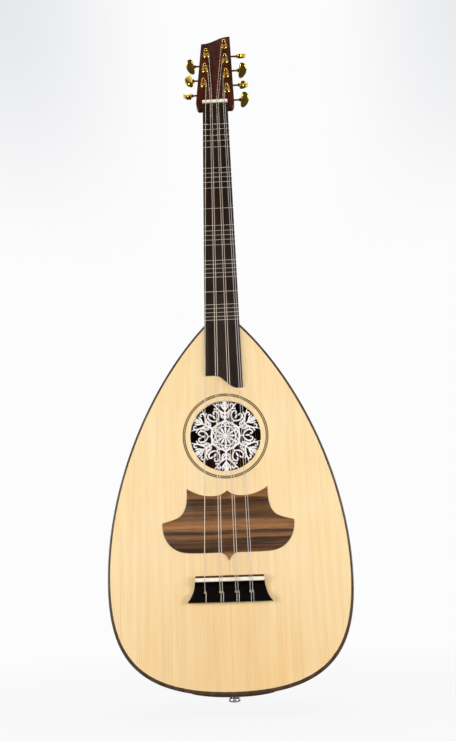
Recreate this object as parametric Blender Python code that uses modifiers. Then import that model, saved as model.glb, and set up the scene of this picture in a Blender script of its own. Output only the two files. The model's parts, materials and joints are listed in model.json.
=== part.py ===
"""Lavta: a plucked lute with a ribbed bowl, tied frets, four courses and geared tuners.

Units are metres.  +X is to the right as the strings are faced, +Z runs up the neck and -Y is the
front.  The origin is the middle of the end pin's outer face.  A place along the strings is often
given as its distance down from the nut, which down() turns into a height.
"""

import math

import bmesh
import bpy
from mathutils import Matrix, Vector
from mathutils.geometry import interpolate_bezier

# Clearance between pieces that touch, and the distance under which points are one
GAP = 0.0003
WELD = 0.000005

# String lengths and the body's place on them
SCALE_LENGTH = 0.696
SADDLE_SETBACK = 0.006
OCTAVE_TO_BODY = 0.0025
NUT_THICKNESS = 0.005

# Body outline, as the rim of the bowl: a flank from the neck to the widest line, a hip to the tail
BODY_LENGTH = 0.4866
BODY_WIDTH = 0.319
WIDEST_ABOVE_TAIL = 0.1495
SHOULDER_ANGLE = math.radians(44.0)
SHOULDER_FULLNESS = 0.294
FLANK_FULLNESS = 0.396
HIP_FULLNESS = 0.608
TAIL_FULLNESS = 0.836
FLANK_STEPS = 10
HIP_STEPS = 8

# Bowl
RIB_COUNT = 13
RIB_THICKNESS = 0.0024
RIB_END_RADIUS = 0.009
NECK_BLOCK_LENGTH = 0.050
TAIL_BLOCK_RADIUS = 0.062
TAIL_BLOCK_HEIGHT = 0.020
CLASP_RADIUS = 0.052
CLASP_THICKNESS = 0.0015

# Soundboard and what lies in it
BOARD_THICKNESS = 0.0022
BINDING_WIDTH = 0.0044
SOUND_HOLE_RADIUS = 0.0482
SOUND_HOLE_BELOW_JOINT = 0.1575
ROSETTE_MARGIN = 0.0045
ROSETTE_THICKNESS = 0.0014
LEAF_SIDES = 6
RING_OUTER_RADIUS = 0.0581
RING_WIDTH = 0.0036
RING_DEPTH = 0.0010
HOLE_SIDES = 30

# Braces behind the soundboard
UPPER_BRACE_BELOW_JOINT = 0.0860
MIDDLE_BRACE_BELOW_JOINT = 0.2300
LOWER_BRACE_BELOW_JOINT = 0.3040
BELLY_BRACE_BELOW_JOINT = 0.3940
BRACE_WIDTH = 0.0070
BRACE_HEIGHT = 0.0130
BRACE_END_HEIGHT = 0.0040
BRACE_TAPER = 0.030
BRACE_END_CLEARANCE = 0.0070

# Pickguard
PICKGUARD_THICKNESS = 0.0008
PICKGUARD_ABOVE_BRIDGE = 0.0183
PICKGUARD_LENGTH = 0.0947
PICKGUARD_WIDTH = 0.1740
PICKGUARD_STEPS = 4

# Bridge and saddle
BRIDGE_TOP_WIDTH = 0.0880
BRIDGE_FOOT_WIDTH = 0.1100
BRIDGE_LENGTH = 0.0330
BRIDGE_HEIGHT = 0.0080
BRIDGE_ABOVE_SADDLE = 0.0050
BRIDGE_VALLEY_HEIGHT = 0.0040
BRIDGE_LIP = 0.0012
BRIDGE_SIDE_STEPS = 6
TIE_BLOCK_LENGTH = 0.0110
TIE_HOLE_RADIUS = 0.0009
TIE_HOLE_HEIGHT = 0.0045
TIE_HOLE_SIDES = 8
TIE_LOOP_SPACE = 0.0005
SADDLE_THICKNESS = 0.0050
SADDLE_HEIGHT = 0.0095
SADDLE_SLOT_FLOOR = 0.0030
SADDLE_CROWN = 0.0012
SADDLE_OVERHANG = 0.0006

# Neck and fingerboard
NECK_WIDTH_AT_BODY = 0.0493
NECK_WIDTH_AT_NUT = 0.0376
NECK_DEPTH_AT_NUT = 0.0190
NECK_SWEEP_LENGTH = 0.0300
NECK_SWEEP_STEPS = 4
FINGERBOARD_THICKNESS = 0.0030
FINGERBOARD_LEFT_OVER_BODY = 0.0740
FINGERBOARD_RIGHT_OVER_BODY = 0.0920
FINGERBOARD_STEP_START = -0.0114
FINGERBOARD_STEP_END = 0.0180
FINGERBOARD_STEP_FULLNESS = 0.35
FINGERBOARD_STEP_POINTS = 8
FRET_DIAMETER = 0.0009
FRET_SEAT = 0.0002
FRET_SIDES = 5

# Frets in commas above the open string, of which an octave holds fifty-three
COMMAS_IN_OCTAVE = 53
FRET_COMMAS = (
    *(4.1, 5.1, 6.3, 7.4, 8.7),
    *(13.1, 14.2, 15.1, 16.2, 17.5),
    22.2,
    *(26.3, 27.6, 28.7, 29.9, 31.2),
    *(35.3, 36.3, 37.5, 38.7, 39.9),
    44.1,
    *(48.0, 49.2, 50.5, 51.8, 52.9),
)

# Headstock
HEAD_TILT = math.radians(8.5)
HEAD_THICKNESS = 0.0110
HEAD_WIDTH_AT_FOOT = 0.0580
HEAD_FOOT_BELOW_NUT = 0.0078
HEAD_LEFT_CORNER = Vector((-0.0200, 0.1154))
HEAD_RIGHT_CORNER = Vector((0.0252, 0.1284))
HEAD_SHOULDER_LENGTH = 0.0125
HEAD_SHOULDER_POINTS = 5
HEAD_TOP_SWEEP = 0.48
HEAD_TOP_LIFT = 0.0006
HEAD_TOP_POINTS = 9
HEAD_EDGE = 0.0008

# Nut
NUT_ACTION = 0.0013
NUT_NOTCH_DEPTH = 0.0007
NUT_EDGE = 0.0006
NOTCH_SIDES = 6

# Strings: radius of each course, its place at the nut and at the saddle, and the spread of its pair
COURSES = (
    {"strings": 1, "radius": 0.00050, "nut": -0.0141, "saddle": -0.0321},
    {"strings": 2, "radius": 0.00045, "nut": -0.0058, "saddle": -0.0112},
    {"strings": 2, "radius": 0.00040, "nut": 0.0038, "saddle": 0.0090},
    {"strings": 2, "radius": 0.00035, "nut": 0.0138, "saddle": 0.0276},
)
PAIR_SPREAD_AT_NUT = 0.0027
PAIR_SPREAD_AT_SADDLE = 0.0031
PLAIN_STRING_RADIUS = 0.00036

# Windings on the posts
WINDING_TURNS = 1.5
WINDING_POINTS_A_TURN = 24
WINDING_SPACE = 0.00045
WINDING_START_HEIGHT = 0.0046

# Tuners.  The posts are counted up from the nut at each side
POSTS_AT_LEFT = 3
POSTS_AT_RIGHT = 4
POST_PITCH = 0.0293
LEFT_FIRST_POST = 0.0323
RIGHT_FIRST_POST = 0.0198
POST_INSET = 0.0098
POST_RADIUS = 0.0027
POST_WAIST_RADIUS = 0.0021
POST_HEAD_RADIUS = 0.0029
POST_HEIGHT = 0.0135
POST_WAIST_START = 0.0032
POST_WAIST_END = 0.0104
POST_EDGE = 0.0010
POST_SIDES = 10
STRING_HOLE_RADIUS = 0.0008
STRING_HOLE_HEIGHT = 0.0091
STRING_HOLE_SIDES = 6
BUSHING_RADIUS = 0.0058
BUSHING_HEIGHT = 0.0017
BARREL_RADIUS = 0.0036
HOUSING_WALL = 0.0012
HOUSING_DEPTH = 0.0100
HOUSING_INNER_SIDE = 0.0062
HOUSING_OUTER_SIDE = 0.0078
HOUSING_TO_NUT = 0.0086
HOUSING_TO_TIP = 0.0058
HOUSING_EDGE = 0.0012
LUG_LENGTH = 0.0062
LUG_WIDTH = 0.0070
LUG_THICKNESS = 0.0016
GEAR_TEETH = 14
GEAR_RADIUS = 0.0031
GEAR_ROOT_RADIUS = 0.0025
GEAR_THICKNESS = 0.0034
SPINDLE_RADIUS = 0.0018
WORM_RADIUS = 0.0018
WORM_ROOT_RADIUS = 0.0013
WORM_THREADS = 3
WORM_PITCH = 0.0020
WORM_DEPTH = 0.0050
KEY_SHAFT_RADIUS = 0.0015
KEY_COLLAR_RADIUS = 0.0028
KEY_COLLAR_LENGTH = 0.0022
KEY_SIDES = 8
BUTTON_CENTRE = 0.0265
BUTTON_LENGTH = 0.0232
BUTTON_WIDTH = 0.0138
BUTTON_THICKNESS = 0.0074
BUTTON_ROUNDING = 0.0024
BUTTON_FLATNESS = 0.26
BUTTON_LEAN = 0.40
BUTTON_POINTS = 14

# How far each key is turned at rest, from the post nearest the nut to the one at the tip
LEFT_KEY_TURNS = (-35.0, -10.0, 45.0)
RIGHT_KEY_TURNS = (40.0, -31.0, 48.0, -45.0)

# End pin
PIN_BEHIND_FRONT = 0.0300
PIN_LENGTH = 0.0105
PIN_FLANGE_RADIUS = 0.0073
PIN_FLANGE_THICKNESS = 0.0028
PIN_WAIST_RADIUS = 0.0042
PIN_SEAT_RADIUS = 0.0052
PIN_EDGE = 0.0008
PIN_SHANK_RADIUS = 0.0019
PIN_SHANK_LENGTH = 0.0150
PIN_SIDES = 16

FINISHES = {
    "spruce": ((0.80, 0.60, 0.36), 0.45, 0.0),
    "bowl_wood": ((0.12, 0.05, 0.025), 0.30, 0.0),
    "dark_binding": ((0.035, 0.020, 0.014), 0.35, 0.0),
    "block_wood": ((0.55, 0.38, 0.20), 0.60, 0.0),
    "brace_wood": ((0.72, 0.52, 0.30), 0.60, 0.0),
    "rosette_white": ((0.86, 0.83, 0.82), 0.40, 0.0),
    "rope_purfling": ((0.22, 0.11, 0.05), 0.45, 0.0),
    "striped_veneer": ((0.28, 0.14, 0.07), 0.40, 0.0),
    "black_wood": ((0.010, 0.009, 0.009), 0.18, 0.0),
    "bone": ((0.86, 0.80, 0.68), 0.35, 0.0),
    "neck_wood": ((0.16, 0.055, 0.022), 0.35, 0.0),
    "fingerboard_wood": ((0.045, 0.028, 0.022), 0.35, 0.0),
    "head_wood": ((0.085, 0.022, 0.010), 0.25, 0.0),
    "gold": ((0.83, 0.57, 0.18), 0.22, 1.0),
    "chrome": ((0.72, 0.72, 0.73), 0.12, 1.0),
    "wound_string": ((0.62, 0.52, 0.38), 0.38, 0.6),
    "plain_string": ((0.62, 0.61, 0.58), 0.30, 0.5),
}

# Bridge, tail and nut heights follow from the end pin upwards
JOINT_DOWN = SCALE_LENGTH / 2 + OCTAVE_TO_BODY
BOARD_FRONT = -PIN_BEHIND_FRONT
BOWL_FRONT = BOARD_FRONT + BOARD_THICKNESS + GAP
FINGERBOARD_FRONT = BOARD_FRONT - GAP - FINGERBOARD_THICKNESS
RIB_ANGLE = math.pi / RIB_COUNT


def body_rim():
    """Points of the rim's right half from the neck down to the tail, with z counted from the tail."""
    half_width = BODY_WIDTH / 2
    flank_length = BODY_LENGTH - WIDEST_ABOVE_TAIL
    neck = Vector((NECK_WIDTH_AT_BODY / 2, BODY_LENGTH))
    widest = Vector((half_width, WIDEST_ABOVE_TAIL))
    tail = Vector((0.0, 0.0))
    shoulder_direction = Vector((math.sin(SHOULDER_ANGLE), -math.cos(SHOULDER_ANGLE)))
    flank = interpolate_bezier(
        neck,
        neck + shoulder_direction * SHOULDER_FULLNESS * flank_length,
        widest + Vector((0.0, FLANK_FULLNESS * flank_length)),
        widest,
        FLANK_STEPS + 1,
    )
    hip = interpolate_bezier(
        widest,
        widest - Vector((0.0, HIP_FULLNESS * WIDEST_ABOVE_TAIL)),
        tail + Vector((TAIL_FULLNESS * half_width, 0.0)),
        tail,
        HIP_STEPS + 1,
    )
    return [Vector((point.x, point.y)) for point in flank + hip[1:]]


def inset(points, distance):
    """Move each point of the rim's right half inwards by a distance."""
    moved = []
    for index, point in enumerate(points):
        before = points[max(index - 1, 0)]
        after = points[min(index + 1, len(points) - 1)]
        along = (after - before).normalized()
        if index == len(points) - 1:
            along = Vector((-1.0, 0.0))
        moved.append(point + Vector((along.y, -along.x)) * distance)
    return moved


def height_at(points, radius):
    """Height of a rim line at a distance from the middle, near the tail."""
    for outer, inner in zip(reversed(points[:-1]), reversed(points[1:])):
        if outer.x >= radius:
            share = (radius - inner.x) / (outer.x - inner.x)
            return inner.y + (outer.y - inner.y) * share
    return points[0].y


RIM_FROM_TAIL = body_rim()
PIN_RADIUS_ON_BOWL = (-BOWL_FRONT - PIN_SEAT_RADIUS) / math.cos(RIB_ANGLE / 2)
CLASP_RISE = GAP + CLASP_THICKNESS
TAIL_Z = PIN_LENGTH + GAP + CLASP_RISE - height_at(RIM_FROM_TAIL, PIN_RADIUS_ON_BOWL)
NUT_Z = TAIL_Z + BODY_LENGTH + JOINT_DOWN
RIM = [Vector((point.x, point.y + TAIL_Z)) for point in RIM_FROM_TAIL]


def down(distance):
    """Height of a place that lies a distance down the strings from the nut."""
    return NUT_Z - distance


# A flat piece is drawn in X and Z and thickened towards -Y
FACING_FRONT = Matrix.Rotation(math.pi / 2, 4, "X")

# A section is drawn in Y and Z and thickened along X; a rod along Z is laid along X
DRAWN_FROM_SIDE = Matrix(((0, 0, 1, 0), (1, 0, 0, 0), (0, 1, 0, 0), (0, 0, 0, 1)))
ALONG_X = Matrix.Rotation(math.pi / 2, 4, "Y")

# The headstock's own frame: x across, y up its face, z out of its face towards the front
HEAD_FRAME = Matrix.Translation((0.0, BOARD_FRONT, NUT_Z + NUT_THICKNESS)) @ Matrix.Rotation(
    math.pi / 2 - HEAD_TILT, 4, "X"
)


def finish(name):
    """The Principled material of a finish."""
    if name in bpy.data.materials:
        return bpy.data.materials[name]
    color, roughness, metallic = FINISHES[name]
    material = bpy.data.materials.new(name)
    material.use_nodes = True
    shader = material.node_tree.nodes["Principled BSDF"]
    shader.inputs["Base Color"].default_value = (*color, 1.0)
    shader.inputs["Roughness"].default_value = roughness
    shader.inputs["Metallic"].default_value = metallic
    return material


def clear_scene():
    for item in list(bpy.data.objects):
        bpy.data.objects.remove(item, do_unlink=True)


def collection(name):
    if name not in bpy.data.collections:
        bpy.context.scene.collection.children.link(bpy.data.collections.new(name))
    return bpy.data.collections[name]


def add(name, data, finish_name, matrix=None):
    """Put a sub-part in the instrument's collection."""
    item = bpy.data.objects.new(name, data)
    collection("lavta").objects.link(item)
    if not data.materials:
        data.materials.append(finish(finish_name))
    if matrix is not None:
        item.matrix_world = matrix
    return item


def add_cutter(name, data, matrix=None):
    """Put a cutting shape among the cutters, hidden from renders."""
    item = bpy.data.objects.new(name, data)
    collection("cutters").objects.link(item)
    item.hide_render = True
    item.display_type = "WIRE"
    if matrix is not None:
        item.matrix_world = matrix
    return item


def boolean(item, other, operation="DIFFERENCE"):
    modifier = item.modifiers.new(other.name, "BOOLEAN")
    modifier.operation = operation
    modifier.solver = "EXACT"
    modifier.object = other


def as_mesh(item, name=None):
    """Turn a curve, or a mesh with modifiers, into one plain welded mesh object."""
    bpy.context.view_layer.update()
    evaluated = item.evaluated_get(bpy.context.evaluated_depsgraph_get())
    mesh = bpy.data.meshes.new_from_object(evaluated)
    shape = bmesh.new()
    shape.from_mesh(mesh)
    bmesh.ops.remove_doubles(shape, verts=shape.verts, dist=WELD)
    shape.to_mesh(mesh)
    shape.free()
    matrix = item.matrix_world.copy()
    name = name or item.name
    homes = list(item.users_collection)
    look = (item.hide_render, item.display_type)
    bpy.data.objects.remove(item, do_unlink=True)
    plain = bpy.data.objects.new(name, mesh)
    for home in homes:
        home.objects.link(plain)
    plain.hide_render, plain.display_type = look
    plain.matrix_world = matrix
    return plain


def mesh_of(shape, name):
    mesh = bpy.data.meshes.new(name)
    shape.to_mesh(mesh)
    shape.free()
    return mesh


def flat_curve(name, outlines, thickness):
    """A plate with a closed outline, and holes for the outlines after the first."""
    curve = bpy.data.curves.new(name, "CURVE")
    curve.dimensions = "2D"
    curve.fill_mode = "BOTH"
    curve.extrude = thickness / 2
    for outline in outlines:
        spline = curve.splines.new("POLY")
        spline.points.add(len(outline) - 1)
        for point, place in zip(spline.points, outline):
            point.co = (place[0], place[1], 0.0, 1.0)
        spline.use_cyclic_u = True
    return curve


def front_plate(name, outlines, front, thickness, finish_name):
    """A flat piece of the front, whose front face lies at the given y."""
    place = Matrix.Translation((0.0, front + thickness / 2, 0.0)) @ FACING_FRONT
    return add(name, flat_curve(name, outlines, thickness), finish_name, place)


def circle(radius, sides, centre=(0.0, 0.0)):
    return [
        Vector(
            (
                centre[0] + radius * math.cos(2 * math.pi * index / sides),
                centre[1] + radius * math.sin(2 * math.pi * index / sides),
            )
        )
        for index in range(sides)
    ]


def mirrored(half):
    """Close an outline from its right half, which runs from the top down to the middle line."""
    left = [Vector((-point.x, point.y)) for point in reversed(half) if point.x > GAP]
    return list(half) + left


def smooth(item, angle=40.0):
    item.data.shade_smooth()
    item.data.set_sharp_from_angle(angle=math.radians(angle))


def box_mesh(name, low, high):
    shape = bmesh.new()
    bmesh.ops.create_cube(shape, size=1.0)
    low = Vector(low)
    size = Vector(high) - low
    bmesh.ops.scale(shape, vec=size, verts=shape.verts)
    bmesh.ops.translate(shape, vec=low + size / 2, verts=shape.verts)
    return mesh_of(shape, name)


def turned(name, profile, sides):
    """A turned mesh object about Z, from (radius, height) pairs that run down its outer side."""
    mesh = bpy.data.meshes.new(name)
    edges = [(index, index + 1) for index in range(len(profile) - 1)]
    mesh.from_pydata([(radius, 0.0, height) for radius, height in profile], edges, [])
    item = bpy.data.objects.new(name, mesh)
    collection("lavta").objects.link(item)
    screw = item.modifiers.new("turn", "SCREW")
    screw.axis = "Z"
    screw.angle = 2 * math.pi
    screw.steps = sides
    screw.render_steps = sides
    screw.use_merge_vertices = True
    screw.merge_threshold = 0.00001
    return item


def dress(item, finish_name):
    item.data.materials.append(finish(finish_name))
    return item


def bevel(item, width, segments):
    modifier = item.modifiers.new("edges", "BEVEL")
    modifier.width = width
    modifier.segments = segments
    modifier.limit_method = "ANGLE"
    modifier.angle_limit = math.radians(50.0)


def add_rod(shape, radius, depth, sides, place):
    bmesh.ops.create_cone(
        shape,
        cap_ends=True,
        segments=sides,
        radius1=radius,
        radius2=radius,
        depth=depth,
        matrix=place,
    )


def rods_mesh(name, radius, depth, sides, places):
    """Round rods along Z, one at each place, in one mesh."""
    shape = bmesh.new()
    for place in places:
        add_rod(shape, radius, depth, sides, place)
    return mesh_of(shape, name)


def rod_mesh(name, radius, depth, sides):
    return rods_mesh(name, radius, depth, sides, [Matrix.Identity(4)])


def ended_at(points, radius):
    """Cut a rim line off where it comes nearer to the middle than a radius."""
    kept = [point for point in points if point.x > radius]
    before = kept[-1]
    after = points[len(kept)]
    share = (before.x - radius) / (before.x - after.x)
    return kept + [before.lerp(after, share)]


def tail_part(points, radius):
    """The end of a rim line, from a distance off the middle to the tail."""
    edge = Vector((radius, height_at(points, radius)))
    return [edge, *(point for point in points if point.x < radius and point.y < edge.y)]


def width_at(points, height):
    """Half width of a rim line at a height."""
    for upper, lower in zip(points, points[1:]):
        if upper.y >= height > lower.y:
            share = (upper.y - height) / (upper.y - lower.y)
            return upper.x + (lower.x - upper.x) * share
    return 0.0


def bezier_run(stretches, steps):
    """Points along joined Bezier stretches, each given as knot, handle, handle, knot."""
    points = []
    for knot, first, second, last in stretches:
        run = [Vector(point[:2]) for point in interpolate_bezier(knot, first, second, last, steps + 1)]
        points += run if not points else run[1:]
    return points


def half_turned(name, outline):
    """Sweep a closed outline, drawn in radius and height, from rim to rim about the bowl's axis."""
    shape = bmesh.new()
    face = shape.faces.new([shape.verts.new((point.x, 0.0, point.y)) for point in outline])
    bmesh.ops.spin(
        shape,
        geom=[face, *face.edges, *face.verts],
        cent=(0.0, 0.0, 0.0),
        axis=(0.0, 0.0, 1.0),
        angle=math.pi,
        steps=RIB_COUNT,
    )
    bmesh.ops.remove_doubles(shape, verts=shape.verts, dist=WELD)
    bmesh.ops.recalc_face_normals(shape, faces=shape.faces)
    return mesh_of(shape, name)


def rib_mesh():
    """One rib: a strip of the rim turned by one rib's angle, its edges half a gap inside."""
    outer = ended_at(RIM, RIB_END_RADIUS)
    inner = ended_at(inset(RIM, RIB_THICKNESS), RIB_END_RADIUS)
    shape = bmesh.new()
    start = [shape.verts.new((point.x, 0.0, point.y)) for point in outer + inner[::-1]]
    face = shape.faces.new(start)
    extruded = bmesh.ops.extrude_face_region(shape, geom=[face])
    end = [item for item in extruded["geom"] if isinstance(item, bmesh.types.BMVert)]
    turn = Matrix.Rotation(RIB_ANGLE, 3, "Z")
    bmesh.ops.rotate(shape, verts=end, cent=(0.0, 0.0, 0.0), matrix=turn)
    bmesh.ops.translate(shape, verts=start, vec=(0.0, GAP / 2, 0.0))
    bmesh.ops.translate(shape, verts=end, vec=turn @ Vector((0.0, -GAP / 2, 0.0)))
    bmesh.ops.recalc_face_normals(shape, faces=shape.faces)
    return mesh_of(shape, "rib")


def build_bowl():
    mesh = rib_mesh()
    front = Matrix.Translation((0.0, BOWL_FRONT, 0.0))
    ribs = []
    for index in range(RIB_COUNT):
        place = front @ Matrix.Rotation(index * RIB_ANGLE, 4, "Z")
        ribs.append(add(f"bowl_rib_{index + 1:02d}", mesh, "bowl_wood", place))
    neck_block = half_turned("neck_block", neck_block_outline())
    add("neck_block", neck_block, "block_wood", front)
    tail_block = half_turned("tail_block", tail_block_outline())
    clasp = half_turned("end_clasp", clasp_outline())
    pinned = (
        ribs[RIB_COUNT // 2],
        add("tail_block", tail_block, "block_wood", front),
        add("end_clasp", clasp, "dark_binding", front),
    )
    hole = shank_hole()
    for piece in pinned:
        boolean(piece, hole)


def neck_block_outline():
    wall = inset(RIM, RIB_THICKNESS + GAP)
    top = down(JOINT_DOWN)
    foot = top - NECK_BLOCK_LENGTH
    side = [point for point in wall if point.y > foot]
    side.append(Vector((width_at(wall, foot), foot)))
    return [Vector((0.0, top)), Vector((side[0].x, top)), *side, Vector((0.0, foot))]


def tail_block_outline():
    floor = tail_part(inset(RIM, RIB_THICKNESS + GAP), TAIL_BLOCK_RADIUS)
    top = floor[-1].y + TAIL_BLOCK_HEIGHT
    return [Vector((0.0, top)), Vector((TAIL_BLOCK_RADIUS, top)), *floor]


def clasp_outline():
    outer = tail_part(inset(RIM, -GAP - CLASP_THICKNESS), CLASP_RADIUS)
    inner = tail_part(inset(RIM, -GAP), CLASP_RADIUS)
    return outer + inner[::-1]


def shank_hole():
    """Cutter for the end pin's shank, through clasp and rib into the tail block."""
    depth = 2 * (PIN_SHANK_LENGTH + GAP)
    mesh = rod_mesh("shank_hole", PIN_SHANK_RADIUS + GAP, depth, PIN_SIDES)
    return add_cutter("shank_hole", mesh, Matrix.Translation((0.0, 0.0, PIN_LENGTH)))


def build_end_pin():
    """Strap button: its outer face is the origin and its shank goes up into the body."""
    top = PIN_LENGTH + PIN_SHANK_LENGTH
    profile = (
        (0.0, top),
        (PIN_SHANK_RADIUS / 2, top),
        (PIN_SHANK_RADIUS, top - PIN_SHANK_RADIUS),
        (PIN_SHANK_RADIUS, PIN_LENGTH),
        (PIN_SEAT_RADIUS, PIN_LENGTH),
        (PIN_SEAT_RADIUS, PIN_LENGTH - PIN_EDGE),
        (PIN_WAIST_RADIUS, PIN_LENGTH - 3 * PIN_EDGE),
        (PIN_WAIST_RADIUS, PIN_FLANGE_THICKNESS + PIN_EDGE),
        (PIN_FLANGE_RADIUS, PIN_FLANGE_THICKNESS),
        (PIN_FLANGE_RADIUS, PIN_EDGE),
        (PIN_FLANGE_RADIUS - PIN_EDGE, 0.0),
        (0.0, 0.0),
    )
    dress(turned("end_pin", profile, PIN_SIDES), "chrome")


def build_soundboard():
    centre = (0.0, down(JOINT_DOWN + SOUND_HOLE_BELOW_JOINT))
    edge = mirrored(inset(RIM, BINDING_WIDTH + GAP))
    hole = circle(SOUND_HOLE_RADIUS, HOLE_SIDES, centre)
    board = front_plate("soundboard", [edge, hole], BOARD_FRONT, BOARD_THICKNESS, "spruce")
    board = as_mesh(board)
    groove = flat_curve("ring_groove", ring_outlines(GAP), 2 * (RING_DEPTH + GAP))
    place = Matrix.Translation((0.0, BOARD_FRONT, 0.0)) @ FACING_FRONT
    boolean(board, as_mesh(add_cutter("ring_groove", groove, place)))
    front_plate("rosette_ring", ring_outlines(0.0), BOARD_FRONT, RING_DEPTH, "rope_purfling")
    band = mirrored(RIM) + mirrored(inset(RIM, BINDING_WIDTH))[::-1]
    front_plate("edge_binding", [band], BOARD_FRONT, BOARD_THICKNESS, "dark_binding")


def ring_outlines(clearance):
    centre = (0.0, down(JOINT_DOWN + SOUND_HOLE_BELOW_JOINT))
    outer = circle(RING_OUTER_RADIUS + clearance, HOLE_SIDES, centre)
    inner = circle(RING_OUTER_RADIUS - RING_WIDTH - clearance, HOLE_SIDES, centre)
    return [outer, inner]


def leaf(radius, angle, length, width, lean=0.0):
    """A pointed opening: its middle in polar form, turned from the radius by its lean."""
    centre = Vector((radius * math.sin(angle), radius * math.cos(angle)))
    along = Vector((math.sin(angle + lean), math.cos(angle + lean)))
    across = Vector((along.y, -along.x))
    return [
        centre + along * (point.x * length) + across * (point.y * width)
        for point in circle(0.5, LEAF_SIDES)
    ]


def rosette_openings():
    """Openings of the rosette in its six parts, from the middle out to the rim."""
    part = math.pi / 3
    openings = []
    for index in range(6):
        axis = index * part
        openings.append(leaf(0.0120, axis, 0.0080, 0.0036))
        openings.append(leaf(0.0205, axis + part / 2, 0.0072, 0.0052))
        openings.append(leaf(0.0420, axis, 0.0070, 0.0090))
        for side in (-1, 1):
            openings.append(leaf(0.0275, axis + side * 0.165, 0.0120, 0.0044, side * 0.35))
            openings.append(leaf(0.0375, axis + side * 0.390, 0.0120, 0.0056))
    return openings


def build_rosette():
    centre = Vector((0.0, down(JOINT_DOWN + SOUND_HOLE_BELOW_JOINT)))
    edge = circle(SOUND_HOLE_RADIUS + ROSETTE_MARGIN, HOLE_SIDES, centre)
    holes = [[point + centre for point in opening] for opening in rosette_openings()]
    front_plate("rosette", [edge, *holes], BOWL_FRONT, ROSETTE_THICKNESS, "rosette_white")


def build_braces():
    wall = inset(RIM, RIB_THICKNESS)
    places = {
        "upper": UPPER_BRACE_BELOW_JOINT,
        "middle": MIDDLE_BRACE_BELOW_JOINT,
        "lower": LOWER_BRACE_BELOW_JOINT,
        "belly": BELLY_BRACE_BELOW_JOINT,
    }
    for name, below_joint in places.items():
        height = down(JOINT_DOWN + below_joint)
        half = width_at(wall, height) - BRACE_END_CLEARANCE
        side = [
            Vector((half, BOWL_FRONT)),
            Vector((half, BOWL_FRONT + BRACE_END_HEIGHT)),
            Vector((half - BRACE_TAPER, BOWL_FRONT + BRACE_HEIGHT)),
        ]
        curve = flat_curve(f"brace_{name}", [mirrored(side)], BRACE_WIDTH)
        add(f"brace_{name}", curve, "brace_wood", Matrix.Translation((0.0, 0.0, height)))


def build_pickguard():
    """A bracket outline: horns and a dip at the top, a wing at each side, a point at the foot."""
    bridge_top, _, _ = bridge_span()
    top = bridge_top + PICKGUARD_ABOVE_BRIDGE + PICKGUARD_LENGTH

    def at(across, along):
        return Vector((across * PICKGUARD_WIDTH / 2, top - along * PICKGUARD_LENGTH))

    stretches = (
        (at(0.0, 0.04), at(0.06, 0.09), at(0.14, 0.12), at(0.25, 0.115)),
        (at(0.25, 0.115), at(0.42, 0.11), at(0.54, 0.05), at(0.62, 0.0)),
        (at(0.62, 0.0), at(0.61, 0.14), at(0.62, 0.34), at(0.76, 0.40)),
        (at(0.76, 0.40), at(0.85, 0.44), at(0.94, 0.45), at(1.0, 0.47)),
        (at(1.0, 0.47), at(1.01, 0.70), at(0.86, 0.87), at(0.62, 0.885)),
        (at(0.62, 0.885), at(0.44, 0.895), at(0.30, 0.89), at(0.16, 0.89)),
        (at(0.16, 0.89), at(0.08, 0.89), at(0.03, 0.93), at(0.0, 1.0)),
    )
    outline = mirrored(bezier_run(stretches, PICKGUARD_STEPS))
    front = BOARD_FRONT - GAP - PICKGUARD_THICKNESS
    front_plate("pickguard", [outline], front, PICKGUARD_THICKNESS, "striped_veneer")


def bridge_span():
    """Heights of the bridge's top edge, its foot and the upper edge of its tie block."""
    top = down(SCALE_LENGTH) + BRIDGE_ABOVE_SADDLE
    foot = top - BRIDGE_LENGTH
    return top, foot, foot + TIE_BLOCK_LENGTH


def bridge_outline():
    top, foot, _ = bridge_span()
    flare = (BRIDGE_FOOT_WIDTH - BRIDGE_TOP_WIDTH) / 2
    start = Vector((BRIDGE_TOP_WIDTH / 2, top))
    end = Vector((BRIDGE_FOOT_WIDTH / 2, foot))
    first = start + Vector((0.15 * flare, -0.50 * BRIDGE_LENGTH))
    second = end + Vector((-0.70 * flare, 0.25 * BRIDGE_LENGTH))
    flared_side = (start, first, second, end)
    return mirrored(bezier_run([flared_side], BRIDGE_SIDE_STEPS))


def string_sides():
    """Each string from left to right: its radius, its x at the nut and at the saddle, its post."""
    left = [("left", index) for index in range(POSTS_AT_LEFT)]
    right = [("right", index) for index in reversed(range(POSTS_AT_RIGHT))]
    posts = left + right
    strings = []
    for course in COURSES:
        for number in range(course["strings"]):
            offset = number - (course["strings"] - 1) / 2
            at_nut = course["nut"] + offset * PAIR_SPREAD_AT_NUT
            at_saddle = course["saddle"] + offset * PAIR_SPREAD_AT_SADDLE
            strings.append((course["radius"], at_nut, at_saddle, posts[len(strings)]))
    return strings


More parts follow.
